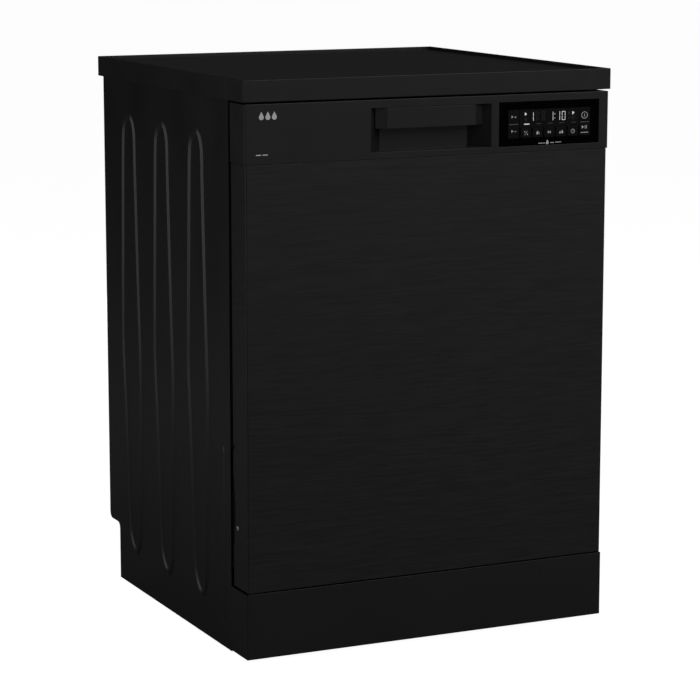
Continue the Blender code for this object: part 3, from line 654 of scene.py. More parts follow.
class BuildStage(bpy.types.Operator):
    """Camera, pale floor and soft studio lights"""

    bl_idname = "dishwasher.stage"
    bl_label = "Stage"

    def execute(self, context):
        data = bpy.data.cameras.new("camera")
        data.lens = CAMERA_LENS
        data.sensor_width = 36
        data.clip_end = 60
        camera = bpy.data.objects.new("camera", data)
        camera.location = CAMERA_PLACE
        camera.rotation_euler = Vector(CAMERA_TOWARDS).to_track_quat("-Z", "Y").to_euler()
        context.scene.collection.objects.link(camera)
        context.scene.camera = camera
        context.scene.view_settings.view_transform = "Standard"
        context.scene.view_settings.look = "None"
        make_floor()
        make_world()
        lit = lamps()
        area_light("left_softbox", (-2.8, 1.0, 0.95), (-0.3, -0.1, 0.5), (2.2, 2.0), lit.left)
        area_light("right_softbox", (2.8, 0.9, 0.35), (0.3, -0.1, 0.5), (2.2, 1.0), lit.right)
        area_light("back_softbox", (1.1, 3.0, 0.4), (0.1, 0.3, 0.45), (0.8, 0.7), lit.back)
        for name, side, strength in (("right", 1, lit.key), ("left", -1, lit.fill)):
            area_light(f"{name}_key", (side * 1.8, -2.6, 3.0), (0, 0, 0.5), (3.2, 3.2), strength)
            area_light(f"{name}_front", (side * 2.0, -3.9, 0.45), (0, -0.3, 0.2), (3.4, 1.8), lit.front)
        return {"FINISHED"}


# ---- Outside ----


class BuildWorktop(bpy.types.Operator):
    """Worktop board and its trims"""

    bl_idname = "dishwasher.worktop"
    bl_label = "Worktop"

    def execute(self, context):
        softened("worktop_board", 0.0006)
        softened("worktop_front_trim", outside().edge, 3)
        softened("worktop_frame", outside().edge, 3)
        return {"FINISHED"}


BEAD_MIDDLES = (0.1687, 0.0290, -0.1107)
# Ridge of one bead loop, (y from its middle, z) in millimetres, going down the rear leg and up the front leg
BEAD_RIDGE = (
    (-1.5, 763), (13, 758), (21, 746), (24.5, 728), (27, 685), (30.3, 605), (33.7, 525),
    (36.6, 444), (37.4, 405), (34.6, 363), (31.2, 323), (28.2, 282), (25.7, 242), (23.6, 201),
    (21.8, 160), (19, 121), (13.5, 91), (2, 72.5), (-13, 65.5), (-24, 76), (-28, 94), (-30.3, 130),
    (-33.5, 213), (-36.4, 294), (-37.8, 345), (-37.6, 385), (-36.2, 420), (-34, 460), (-30.7, 533),
    (-27.2, 611), (-24.3, 690), (-23.5, 728), (-20.5, 746), (-12.5, 758),
)
# Middle, bottom and top of the short bead near the front
SHORT_BEAD = (-0.2085, 0.056, 0.300)
# The sheet lies this far inside the node's box, so its beads reach the box, and hangs this far below it
SHEET_INSET, PANEL_DROP = 0.0020, 0.0030
FLANGE_START, FLANGE_DEEP = 0.310, 0.0115
# The rear lower corner is cut away up to here
NOTCH_Y, NOTCH_Z, NOTCH_CORNER = 0.2350, 0.0960, 0.010


def smooth_loop(points, per_side):
    """A closed Catmull-Rom curve through the points."""
    curve = []
    for i in range(len(points)):
        a, b, c, d = (Vector(points[(i + k) % len(points)]) for k in (-1, 0, 1, 2))
        quadratic, cubic = 2 * a - 5 * b + 4 * c - d, 3 * b - a - 3 * c + d
        for t in (step / per_side for step in range(per_side)):
            curve.append(0.5 * (2 * b + (c - a) * t + quadratic * t * t + cubic * t**3))
    return curve


def offset_ring(curve, distance):
    """A closed curve moved to its right by a distance."""
    moved = []
    for i, point in enumerate(curve):
        along = (curve[(i + 1) % len(curve)] - curve[i - 1]).normalized()
        moved.append(point + Vector((-along.y, along.x)) * distance)
    return moved


def bead_profile(half, high, steps=10):
    """(distance from the ridge, height) pairs across a bead, from one foot to the other."""
    places = [-1 + 2 * i / steps for i in range(steps + 1)]
    return [(t * half, high * 0.5 * (1 + math.cos(math.pi * t))) for t in places]


def make_side_panel(node, side):
    """A pressed side sheet with its beads, and flanges turned in at the front and back."""
    low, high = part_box(node)
    settings = outside()
    face = (high.x if side > 0 else -low.x) - SHEET_INSET
    front, back = low.y, high.y
    bottom, top = low.z - PANEL_DROP, high.z
    bm = bmesh.new()

    def point(y, z, out=0.0):
        return bm.verts.new((side * (face + out), y, z))

    outline = [(front, bottom), (front, FLANGE_START), (front, top), (back, top)]
    outline += [(back, NOTCH_Z + NOTCH_CORNER)]
    outline += arc(back - NOTCH_CORNER, NOTCH_Z + NOTCH_CORNER, NOTCH_CORNER, 0, -90, 6)[1:]
    outline += arc(NOTCH_Y + NOTCH_CORNER, NOTCH_Z - NOTCH_CORNER, NOTCH_CORNER, 90, 180, 6)
    outline.append((NOTCH_Y, bottom))
    border = [point(y, z) for y, z in outline]
    loops = [border]
    for middle in BEAD_MIDDLES:
        ridge = smooth_loop([(middle + y * MM, z * MM) for y, z in BEAD_RIDGE], 4)
        rings = [
            [point(p.x, p.y, out) for p in offset_ring(ridge, shift)]
            for shift, out in bead_profile(settings.bead_half, settings.bead_high)
        ]
        bridge(bm, rings)
        loops += [rings[0], rings[-1]]
    y, z0, z1 = SHORT_BEAD
    rings = [
        [
            point(y - shift * math.cos(t), z - shift * math.sin(t) * 2.2, out)
            for z, start in ((z1, 0.0), (z0, math.pi))
            for t in [start + math.pi * i / 8 for i in range(9)]
        ]
        for shift, out in bead_profile(0.0068, settings.bead_high * 0.8)[:5]
    ]
    bridge(bm, rings)
    bm.faces.new(rings[-1])
    fill_between(bm, [*loops, rings[0]])
    folds = [bm.edges.get((border[1], border[2])), bm.edges.get((border[3], border[4]))]
    folded = bmesh.ops.extrude_edge_only(bm, edges=folds)["geom"]
    moved = [v for v in folded if isinstance(v, bmesh.types.BMVert)]
    bmesh.ops.translate(bm, vec=(-side * FLANGE_DEEP, 0, 0), verts=moved)
    widest = max(outwards(bm).faces, key=lambda f: abs(f.normal.x) * f.calc_area())
    if widest.normal.x * side < 0:
        bmesh.ops.reverse_faces(bm, faces=bm.faces[:])
    return add_piece(f"{node}_sheet", bm, "black_paint", "cabinet", (node,), 40, wall=0.0009, edge=0.0004)


class BuildSidePanels(bpy.types.Operator):
    """Side panels with their pressed beads"""

    bl_idname = "dishwasher.side_panels"
    bl_label = "Side panels"

    def execute(self, context):
        make_side_panel("side_panel_left", -1)
        make_side_panel("side_panel_right", 1)
        return {"FINISHED"}


# Hinge slot in the door's side, as (y, z), drawn as a flat dark patch of painted shade
DOOR_SIDE_SLOT = (
    (-0.2417, 0.166), (-0.2417, 0.270), (-0.2440, 0.268), (-0.2452, 0.244), (-0.2478, 0.236), (-0.2478, 0.202),
    (-0.2455, 0.190), (-0.2446, 0.176),
)


class BuildDoorOutside(bpy.types.Operator):
    """Door panel, fascia, grip and plinth"""

    bl_idname = "dishwasher.door_outside"
    bl_label = "Door outside"

    def execute(self, context):
        softened("door_outer_panel", 0.0003, 3, corner=0.0022)
        softened("control_panel", 0.0004, 4, corner=0.0020)
        softened("handle_grip", 0.0005, 3)
        softened("plinth", 0.0005, 4, corner=0.0028, lower=0.0025)
        low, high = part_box("door_outer_panel")
        sides = ((-1, low.x), (1, high.x))
        spots = [((x, -0.257, 0.196), (side, 0, 0)) for side, x in sides]
        screws("door_side_screws", spots, "door", 0.0034)
        # Flat dark patches on the door's sides: painted shade for the hinge slot, and a small round dark patch higher
        # up
        bm = bmesh.new()
        for side, x in sides:
            for outline in (DOOR_SIDE_SLOT, circle(-0.2450, 0.315, 0.0030, 16)):
                slab(bm, "x", outline, *span(side, abs(x), abs(x) + 0.00025))
        add_piece("door_side_openings", bm, "shadow", "door")
        return {"FINISHED"}


# ---- Display and marks ----

DISPLAY_LOW, DISPLAY_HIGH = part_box("display_panel")
KEY_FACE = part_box("fast_key")[0].y
OPTIONS = ("half_load", "extra_dry", "fast", "steam", "delay")


def marks(name, shapes, finish, body, face):
    """Flat marks on a face that looks forward; each shape is an outline and any holes in it."""
    bm = bmesh.new()
    for outline, *holes in shapes:
        slab(bm, "y", outline, face - 0.00006, face, holes)
    return add_piece(name, bm, finish, body)


def bar(x, z, wide, high, slant=0.0):
    a, b = wide / 2, high / 2
    return ([(x - a - slant, z - b), (x + a - slant, z - b), (x + a + slant, z + b), (x - a + slant, z + b)],)


def arrow(x, z, wide, high):
    return ([(x - wide / 2, z - high / 2), (x + wide / 2, z), (x - wide / 2, z + high / 2)],)


def disc(x, z, radius, bore=0.0, steps=20):
    outline = circle(x, z, radius, steps)
    return (outline, circle(x, z, bore, steps)) if bore else (outline,)


def drop(x, z, high, steps=18):
    """A plain drop with its point upwards."""
    radius = high * 0.32
    return ([(x, z + high / 2), *arc(x, z - high / 2 + radius, radius, 150, 390, steps)],)


def digit(x, z, lit, high=0.0132, wide=0.0058, pen=0.0008):
    """Seven-segment digit from the letters of its lit segments."""
    a, b, c = wide / 2, high / 4, pen / 2
    upright = lambda u, v: (
        [(u, v - b + 0.0002), (u + c, v - b + c), (u + c, v + b - c), (u, v + b - 0.0002),
         (u - c, v + b - c), (u - c, v - b + c)],
    )
    level = lambda v: (
        [(x - a + 0.0004, v), (x - a + c, v - c), (x + a - c, v - c), (x + a - 0.0004, v),
         (x + a - c, v + c), (x - a + c, v + c)],
    )
    shapes = {
        "a": level(z + 2 * b - c), "g": level(z), "d": level(z - 2 * b + c),
        "b": upright(x + a - c, z + b), "c": upright(x + a - c, z - b),
        "f": upright(x - a + c, z + b), "e": upright(x - a + c, z - b),
    }
    return [shapes[letter] for letter in lit]


def option_icon(option, x, z):
    """The generic sign on an option key."""
    if option == "half_load":
        return [disc(x - 0.0023, z + 0.0020, 0.0009), disc(x + 0.0023, z - 0.0020, 0.0009),
                bar(x, z, 0.0007, 0.0062, 0.0022)]
    if option == "extra_dry":
        return [drop(x - 0.0008, z, 0.0056), bar(x + 0.0022, z - 0.0004, 0.0006, 0.0044, -0.0010)]
    if option == "fast":
        return [arrow(x - 0.0016, z, 0.0024, 0.0044), arrow(x + 0.0016, z, 0.0024, 0.0044)]
    if option == "steam":
        return [drop(x - 0.0020, z - 0.0008, 0.0040), drop(x + 0.0017, z, 0.0054)]
    return [disc(x, z, 0.0032, 0.0026, 24), bar(x, z + 0.0009, 0.0005, 0.0020),
            bar(x + 0.0008, z, 0.0018, 0.0005)]


class BuildDisplay(bpy.types.Operator):
    """Display panel, its lit marks and the keys' signs"""

    bl_idname = "dishwasher.display"
    bl_label = "Display"

    def execute(self, context):
        face = DISPLAY_LOW.y
        keys = ["program_key", "power_start_key"] + [f"{option}_key" for option in OPTIONS]
        holes = []
        for key in keys:
            low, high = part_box(key)
            holes.append(
                rounded_outline(low.x - 0.0003, high.x + 0.0003, low.z - 0.0003, high.z + 0.0003, 0.0005, 2)
            )
            softened(key, 0.00025)
        outline = rounded_outline(
            DISPLAY_LOW.x, DISPLAY_HIGH.x, DISPLAY_LOW.z, DISPLAY_HIGH.z, 0.0022, 6
        )
        bm = slab(bmesh.new(), "y", outline, face, DISPLAY_HIGH.y, holes)
        add_piece("display_glass", bm, "display_black", "door", ("display_panel",), edge=0.0002)
        left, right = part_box("program_key")[1].x + 0.0004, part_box("power_start_key")[0].x - 0.0008
        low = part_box("fast_key")[1].z + 0.0006
        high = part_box("program_key")[1].z + 0.0004
        window = [rounded_outline(left, right, low, high, 0.0004, 2)]
        marks("display_window", [window], "key_black", "door", face + 0.00002)
        top = face - 0.00004
        lit = [
            arrow(0.1556, 0.7866, 0.0036, 0.0050), *digit(0.1657, 0.7824, "bc"),
            *digit(0.1990, 0.7821, "bc"), disc(0.2046, 0.7852, 0.0006), disc(0.2046, 0.7789, 0.0006),
            *digit(0.2104, 0.7821, "bc"), *digit(0.2196, 0.7821, "abcdef"),
            arrow(0.2363, 0.7857, 0.0036, 0.0054), bar(0.1571, 0.7716, 0.0090, 0.0015),
        ]
        marks("lit_figures", lit, "lit", "door", top)
        faint = [bar(x, 0.7716, 0.0080, 0.0009) for x in (0.1770, 0.1970, 0.2165, 0.2364)]
        marks("waiting_dashes", faint, "faint", "door", top)
        ghosts = [disc(0.1748, 0.7867, 0.0030, 0.0022), disc(0.1854, 0.7867, 0.0032, 0.0024),
                  disc(0.1748, 0.7791, 0.0024, 0.0017), disc(0.1854, 0.7791, 0.0028, 0.0020),
                  drop(0.2290, 0.7862, 0.0055), bar(0.2290, 0.7786, 0.0030, 0.0011),
                  disc(0.2363, 0.7788, 0.0026, 0.0019), drop(0.1556, 0.7788, 0.0050)]
        marks("unlit_signs", ghosts, "ghost", "door", top)
        x = 0.1354
        marks("program_key_signs", [
            arrow(x - 0.0024, 0.7830, 0.0030, 0.0044), bar(x + 0.0026, 0.7826, 0.0032, 0.0007),
            bar(x + 0.0026, 0.7826, 0.0007, 0.0032), arrow(x - 0.0024, 0.7618, 0.0030, 0.0044),
            bar(x + 0.0026, 0.7614, 0.0032, 0.0007),
        ], "print_and_glow", "program_key", KEY_FACE)
        marks("program_key_line", [bar(x, 0.7719, 0.0160, 0.0010)], "line", "program_key", KEY_FACE)
        x = 0.2557
        marks("power_start_key_signs", [
            disc(x, 0.7815, 0.0053, 0.0045, 28), bar(x, 0.7815, 0.0009, 0.0046),
            arrow(x - 0.0028, 0.7638, 0.0036, 0.0052), bar(x + 0.0012, 0.7638, 0.0010, 0.0050),
            bar(x + 0.0036, 0.7638, 0.0010, 0.0050), bar(x, 0.7556, 0.0130, 0.0009),
        ], "print_and_glow", "power_start_key", KEY_FACE)
        marks("power_start_key_line", [bar(x, 0.7713, 0.0150, 0.0010)], "line", "power_start_key", KEY_FACE)
        for option in OPTIONS:
            low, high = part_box(f"{option}_key")
            icon = option_icon(option, (low.x + high.x) / 2, (low.z + high.z) / 2)
            marks(f"{option}_key_sign", icon, "print_and_glow", f"{option}_key", KEY_FACE)
        x, z = 0.1940, 0.7440
        marks("wash_sign", [
            drop(x - 0.0016, z, 0.0072), bar(x - 0.0110, z - 0.0016, 0.0120, 0.0009),
            bar(x + 0.0065, z - 0.0014, 0.0060, 0.0011), bar(x + 0.0170, z - 0.0010, 0.0105, 0.0009),
        ], "print_and_glow", "door", face)
        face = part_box("control_panel")[0].y
        drops = [drop(x, 0.7994, 0.0118) for x in (-0.2700, -0.2600, -0.2500)]
        marks("drops_badge", drops, "print_and_glow", "door", face)
        dashes = [bar(-0.2748, 0.7440, 0.0078, 0.0014), bar(-0.2645, 0.7440, 0.0080, 0.0014)]
        marks("fascia_dash", dashes, "print_and_glow", "door", face)
        return {"FINISHED"}


# ---- Tub and inner door ----


def arc_corner(radius, steps):
    """(inset, depth) pairs round a quarter turn, from a wall into the face behind it."""
    for i in range(1, steps + 1):
        t = math.radians(90 * i / steps)
        yield radius * (1 - math.cos(t)), radius * math.sin(t)


class BuildTub(bpy.types.Operator):
    """Steel tub, its seal and rack rollers"""

    bl_idname = "dishwasher.tub"
    bl_label = "Tub"

    def execute(self, context):
        half, back, floor, top, front = 0.262, 0.255, 0.165, 0.785, -0.2398
        corner = inside().tub_corner

        def ring(y, inset, radius):
            outline = rounded_outline(-half + inset, half - inset, floor + inset, top - inset, radius, 8)
            return [(x, y, z) for x, z in outline]

        flange = [(x, front, z) for x, z in rounded_outline(-0.2738, 0.2738, 0.1642, 0.7986, 0.006, 8)]
        rings = [flange, ring(front, -0.0005, corner), ring(front + 0.0015, 0, corner)]
        rings += [ring(y, 0, corner) for y in (-0.15, 0.0, 0.15, back - corner)]
        for inset, deep in arc_corner(corner, 7):
            rings.append(ring(back - corner + deep, inset, max(corner - inset, 0.0006)))
        bm = bmesh.new()
        made = loft(bm, rings)
        bm.faces.new(made[-1])
        face_towards(bm, "z", 0)
        centre = [f for f in bm.faces if len(f.verts) > 4][0]
        if centre.normal.y > 0:
            bmesh.ops.reverse_faces(bm, faces=bm.faces[:])
        holes = bmesh.new()
        for u, v, radius in ((0.080, 0.100, 0.0635), (0.0, 0.010, 0.020), (-0.170, -0.090, 0.0345)):
            merge(holes, turned("z", u, v, [(radius, 0.150), (radius, 0.180)], 40))
        add_piece("tub_shell", bm, "stainless", "cabinet", ("tub",), 35, wall=0.0008, cutter=holes)
        rollers = bmesh.new()
        for y in (-0.205, -0.145):
            for side in (-1, 1):
                profile = [(0.0030, 0.2475), (0.0078, 0.2475), (0.0085, 0.2484), (0.0085, 0.2546),
                           (0.0078, 0.2555), (0.0050, 0.2558), (0.0050, 0.2618)]
                merge(rollers, turned("x", y, 0.560, [(r, side * x) for r, x in profile], 24))
        add_piece("rail_rollers", rollers, "light_plastic", "cabinet", smooth=35)
        self.seal()
        return {"FINISHED"}

    def seal(self):
        side, top, radius = 0.2685, 0.792, 0.010
        path = [Vector((-side, 0.190)), Vector((-side, top - radius))]
        for t in (20, 45, 70, 90):
            t = math.radians(t)
            path.append(Vector((-side + radius - radius * math.cos(t), top - radius + radius * math.sin(t))))
        path += [Vector((-p.x, p.y)) for p in reversed(path)]
        profile = [(-0.0048, -0.2403), (-0.0048, -0.2418), (-0.0035, -0.2440), (-0.0020, -0.2452),
                   (0.0, -0.2457), (0.0020, -0.2452), (0.0035, -0.2440), (0.0048, -0.2418), (0.0048, -0.2403)]
        bm = bmesh.new()
        rings = []
        for i, p in enumerate(path):
            along = (path[min(i + 1, len(path) - 1)] - path[max(i - 1, 0)]).normalized()
            across = Vector((-along.y, along.x))
            rings.append([(p.x + across.x * u, y, p.y + across.y * u) for u, y in profile])
        made = loft(bm, rings)
        for end in (made[0], made[-1]):
            bm.faces.new(end)
        outwards(bm)
        add_piece("seal_lip", bm, "rubber", "cabinet", ("door_seal",), 40)


class BuildInnerDoor(bpy.types.Operator):
    """Inner door sheet with its dish, dispenser, lid, cap and lock"""

    bl_idname = "dishwasher.inner_door"
    bl_label = "Inner door"

    def execute(self, context):
        face, floor = -0.246, -0.258
        bm = bmesh.new()

        def ring(outline, y):
            return [bm.verts.new((x, y, z)) for x, z in outline]

        step = 0.010
        side = [(0.2746, 0.1120), (0.2746, 0.3050 - step), (0.2915, 0.3050), (0.2915, 0.8120)]
        outline = side + [(-x, z) for x, z in reversed(side)]
        outer = ring(outline, face)
        slot = ring(rounded_outline(-0.0165, 0.0165, 0.7985, 0.8105, 0.001, 2), face)
        dish = (-0.222, 0.222, 0.215, 0.725)
        steps = ((-0.003, 0.0), (-0.001, 0.0006), (0.0, 0.0022), (0.002, 0.0105), (0.0034, 0.0117), (0.0060, 0.0120))
        rings = [ring(rounded_outline(*dish, 0.034, 8, inset), face - deep) for inset, deep in steps]
        opening = ring(rounded_outline(-0.0800, 0.0800, 0.4350, 0.5650, 0.003, 3), floor)
        fill_between(bm, [outer, slot, rings[0]])
        bridge(bm, rings)
        fill_between(bm, [rings[-1], opening])
        face_towards(bm, "y", 1)
        add_piece("inner_door_sheet", bm, "stainless", "door", ("door_liner",), 35, wall=0.0008)
        softened("door_lock", 0.0008)
        softened("detergent_dispenser", 0.0010, 3)
        ribs = bmesh.new()
        for i in range(9):
            z = 0.463 + 0.0092 * i
            slab(ribs, "z", rectangle(-0.066, -0.030, -0.2518, -0.2510), z - 0.0011, z + 0.0011)
        softened("dispenser_lid", 0.0008, 3, extra=ribs)
        studs = [((x, -0.2512, z), (0, 1, 0)) for x, z in circle(0.042, 0.500, 0.0205, 6, 0.5)]
        stud = turned("z", 0, 0, [(0.0011, -0.0002), (0.0011, 0.0003), (0.0006, 0.0006)], 10)
        repeated("cap_studs", stud, studs, "light_plastic", "rinse_aid_cap")
        softened("rinse_aid_cap", 0.0007, 2, 35)
        return {"FINISHED"}


# ---- Racks, basket and sprays ----


def bent(points, radius, steps=4):
    """A path of straight runs with round bends of one radius."""
    points = [Vector(p) for p in points]
    path = [points[0]]
    for before, at, after in zip(points, points[1:], points[2:]):
        a, b = (before - at).normalized(), (after - at).normalized()
        for i in range(steps + 1):
            t = i / steps
            path.append(at + a * radius * (1 - t) ** 2 + b * radius * t**2)
    return path + [points[-1]]


def rim(half, front, back, z, radius):
    loop = [(x, y, z) for x, y in rounded_outline(-half, half, front, back, radius, 5)]
    return loop + loop[:1]


def basket_paths(half, front, back, low, high, pitch):
    """Bent wires of an open rack: hoops across and along it."""
    paths = []
    count = round((back - front) / pitch)
    for i in range(1, count):
        y = front + (back - front) * i / count
        paths.append(bent([(-half, y, high), (-half, y, low), (half, y, low), (half, y, high)], 0.010))
    count = round(2 * half / pitch)
    for i in range(1, count):
        x = -half + 2 * half * i / count
        paths.append(bent([(x, front, high), (x, front, low), (x, back, low), (x, back, high)], 0.010))
    return paths


def tines(xs, ys, low, high, lean):
    return [[(x, y, low), (x, y + lean * 0.3, low + (high - low) * 0.4), (x, y + lean, high)] for x in xs for y in ys]


class BuildRacks(bpy.types.Operator):
    """Wire racks, rails, rollers and cutlery basket"""

    bl_idname = "dishwasher.racks"
    bl_label = "Racks"

    def execute(self, context):
        rack = inside()
        half, back = 0.236, 0.232
        thin, thick = rack.wire / 2, rack.rim_wire / 2
        for name, front, low, high, pitch, rows in (
            ("lower_rack", -0.192, 0.215, 0.335, 0.0285, ((-0.140, -0.050, 0.040, 0.130), 0.288)),
            ("upper_rack", -0.215, 0.500, 0.600, 0.0285, ((-0.160, -0.060, 0.060, 0.160), 0.556)),
        ):
            hoops = basket_paths(half, front, back, low, high, pitch)
            wires(f"{name}_hoops", hoops, thin, "rack_coating", name, (name,))
            rims = [rim(half, front, back, high, 0.022), rim(half, front, back, (low + high) / 2, 0.022)]
            wires(f"{name}_rims", rims, thick, "rack_coating", name)
            ys, top = rows
            xs = [-0.212 + 0.0285 * i for i in range(11 if name == "lower_rack" else 16)]
            wires(f"{name}_tines", tines(xs, ys, low, top, 0.006), thin, "rack_coating", name)
        fittings = bmesh.new()
        for side in (-1, 1):
            for y in (-0.110, 0.180):
                outline = rounded_outline(y - 0.0085, y + 0.0085, 0.1775, 0.2190, 0.006, 4)
                slab(fittings, "x", outline, *span(side, 0.2350, 0.2395))
                axle = [(0.0039, side * 0.2370), (0.0039, side * 0.2508), (0.0034, side * 0.2515)]
                merge(fittings, turned("x", y, 0.1835, axle, 16))
        add_piece("lower_rack_hangers", fittings, "grey_plastic", "lower_rack", edge=0.0004)
        brackets = bmesh.new()
        for side in (-1, 1):
            for y in (-0.140, 0.140):
                outline = rounded_outline(y - 0.022, y + 0.022, 0.546, 0.574, 0.005, 4)
                slab(brackets, "x", outline, *span(side, 0.2350, 0.2444))
        add_piece("upper_rack_brackets", brackets, "grey_plastic", "upper_rack", edge=0.0010, steps=3)
        softened("rack_rail_left", 0.0006)
        softened("rack_rail_right", 0.0006)
        for place, y in (("front", -0.110), ("rear", 0.180)):
            for side, word in ((-1, "left"), (1, "right")):
                name = f"rack_wheel_{place}_{word}"
                bm = bmesh.new()
                hub_in = [(0.0046, 0.2402), (0.0085, 0.2402), (0.0095, 0.2418), (0.0130, 0.2418), (0.0138, 0.2402)]
                tread = [(0.0160, 0.2402), (0.0170, 0.2412), (0.0170, 0.2490), (0.0160, 0.2500), (0.0138, 0.2500)]
                hub_out = [(0.0130, 0.2484), (0.0095, 0.2484), (0.0085, 0.2500), (0.0046, 0.2500), (0.0046, 0.2402)]
                profile = hub_in + tread + hub_out
                rings = [[placed("x", *p, side * x) for p in circle(y, 0.1835, r, 32)] for r, x in profile]
                loft(bm, rings)
                bmesh.ops.remove_doubles(bm, verts=bm.verts[:], dist=1e-6)
                outwards(bm)
                for spot in circle(y, 0.1835, 0.0112, 5):
                    slab(bm, "x", circle(*spot, 0.0012, 8), *span(side, 0.2412, 0.2490))
                add_piece(f"{name}_shaped", bm, "grey_plastic", name, (name,), 35)
        self.basket()
        return {"FINISHED"}

    def basket(self):
        x0, x1, y0, y1, z0, z1 = 0.108, 0.228, -0.186, 0.054, 0.2182, 0.335
        wall, middle = 0.002, -0.066
        bm = bmesh.new()
        for y in (y0, y1 - wall):
            slotted(bm, "y", (x0, x1), (z0, z1), y, y + wall, 8, 5)
        for x in (x0, x1 - wall):
            slotted(bm, "x", (y0, y1), (z0, z1), x, x + wall, 16, 5)
        slotted(bm, "z", (x0, x1), (y0, y1), z0, z0 + wall, 9, 17)
        outline = [(x0 + wall, z0 + wall), (x1 - wall, z0 + wall), (x1 - wall, z1 - 0.004)]
        outline += [(0.212, z1 + 0.006), (0.206, 0.366), (0.200, 0.372), (0.136, 0.372), (0.130, 0.366)]
        outline += [(0.124, z1 + 0.006), (x0 + wall, z1 - 0.004)]
        hole = rounded_outline(0.138, 0.198, 0.345, 0.364, 0.006, 4)
        slab(bm, "y", outline, middle - wall, middle + wall, [hole])
        for x in (x0 - 0.0004, x1 - wall - 0.0004):
            slab(bm, "x", rounded_outline(y0, y1, z1 - 0.006, z1, 0.001, 2), x, x + wall + 0.0008)
        for y in (y0 - 0.0004, y1 - wall - 0.0004):
            slab(bm, "y", rounded_outline(x0, x1, z1 - 0.006, z1, 0.001, 2), y, y + wall + 0.0008)
        add_piece("basket_lattice", bm, "grey_plastic", "cutlery_basket", ("cutlery_basket",))


def slotted(bm, axis, us, vs, low, high, columns, rows):
    """A thin wall with a grid of round-cornered slots."""
    (u0, u1), (v0, v1) = us, vs
    margin, rib = 0.005, 0.0028
    wide, tall = (u1 - u0 - 2 * margin + rib) / columns, (v1 - v0 - 2 * margin + rib) / rows
    holes = []
    for i in range(columns):
        for j in range(rows):
            a, b = u0 + margin + i * wide, v0 + margin + j * tall
            holes.append(rounded_outline(a, a + wide - rib, b, b + tall - rib, 0.0015, 2))
    slab(bm, axis, rectangle(u0, u1, v0, v1), low, high, holes)


class BuildSprays(bpy.types.Operator):
    """Spray arms, feed pipes and filters"""

    bl_idname = "dishwasher.sprays"
    bl_label = "Sprays"

    def execute(self, context):
        for node, reach, count, up in (
            ("lower_spray_arm", 0.205, 6, 1),
            ("upper_spray_arm", 0.186, 5, 1),
            ("ceiling_sprayer", 0.070, 3, -1),
        ):
            softened(node, 0.0022, 3, 35)
            low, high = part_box(node)
            z = high.z if up > 0 else low.z
            spots = []
            for side in (-1, 1):
                for i in range(count):
                    x = side * (0.045 + (reach - 0.045) * i / (count - 1)) if count > 3 else side * (0.024 + 0.02 * i)
                    spots.append(((x, 0.010 + side * 0.004 * (1 if i % 2 else -1), z), (0, 0, up)))
            profile = [(0.0034, -0.0006), (0.0034, 0.0003), (0.0026, 0.0010), (0.0016, 0.0010)]
            boss = turned("z", 0, 0, profile, 16)
            repeated(f"{node}_nozzles", boss, spots, "light_plastic", node)
            # Each jet is a dark slab of painted shade on its nozzle, standing for the opening
            hole = bmesh.new()
            slab(hole, "z", rounded_outline(-0.0014, 0.0014, -0.0007, 0.0007, 0.0006, 2), 0.0008, 0.00106)
            repeated(f"{node}_jets", hole, spots, "shadow", node)
        softened("upper_arm_feed", 0.0022, 3)
        softened("water_duct", 0.0025, 3)
        softened("sump", 0.0008, 2, 35)
        softened("coarse_filter", 0.0004, 2, 35)
        spots = []
        for k in range(9):
            radius = 0.0325 + 0.0042 * k
            ring = circle(0.080, 0.100, radius, round(math.tau * radius / 0.0044), 0.5 * (k % 2))
            spots += [((x, y, 0.17004), (0, 0, 1)) for x, y in ring]
        # The filter's holes are dark discs of painted shade on its face, not cut through it
        hole = bmesh.new()
        bmesh.ops.create_circle(hole, cap_ends=True, radius=0.0013, segments=8)
        repeated("filter_holes", hole, spots, "shadow", "cabinet")
        ribs = bmesh.new()
        for spot in circle(0.080, 0.100, 0.0238, 16):
            merge(ribs, turned("z", *spot, [(0.0014, 0.066), (0.0014, 0.160)], 6))
        softened("fine_filter", 0.0006, 2, 35, extra=ribs)
        grip = bmesh.new()
        for spot in circle(-0.170, -0.090, 0.0383, 24):
            merge(grip, turned("z", *spot, [(0.0013, 0.1716), (0.0013, 0.1764)], 8))
        softened("salt_cap", 0.0007, 2, 35, extra=grip)
        return {"FINISHED"}


# ---- Underneath and behind ----


def ringed(axis, u, v, inner, low, high, outer, depth, pitch, steps=28):
    """A threaded or barbed sleeve: ridges of one depth along a tube."""
    profile = [(inner, low), (outer, low)]
    place = low + pitch / 2
    while place < high - pitch / 2:
        profile += [(outer, place), (outer + depth, place + pitch / 4), (outer, place + pitch / 2)]
        place += pitch
    profile += [(outer, high), (inner, high), (inner, low)]
    bm = bmesh.new()
    loft(bm, [[placed(axis, *p, h) for p in circle(u, v, r, steps)] for r, h in profile])
    bmesh.ops.remove_doubles(bm, verts=bm.verts[:], dist=1e-6)
    outwards(bm)
    return bm


def screws(name, spots, body, radius=0.0038):
    """Pan-head screws; their cross recess is a dark cross of painted shade on the head."""
    profile = [(radius, -0.0004), (radius, 0.0005), (radius * 0.8, 0.0013), (radius * 0.4, 0.0017)]
    head = turned("z", 0, 0, profile, 18)
    repeated(f"{name}_heads", head, spots, "zinc", body)
    cross_shade = bmesh.new()
    for a, b in ((0.5, 0.13), (0.13, 0.5)):
        slab(cross_shade, "z", rectangle(-radius * a, radius * a, -radius * b, radius * b), 0.0012, 0.00175)
    repeated(f"{name}_crosses", cross_shade, spots, "shadow", body)


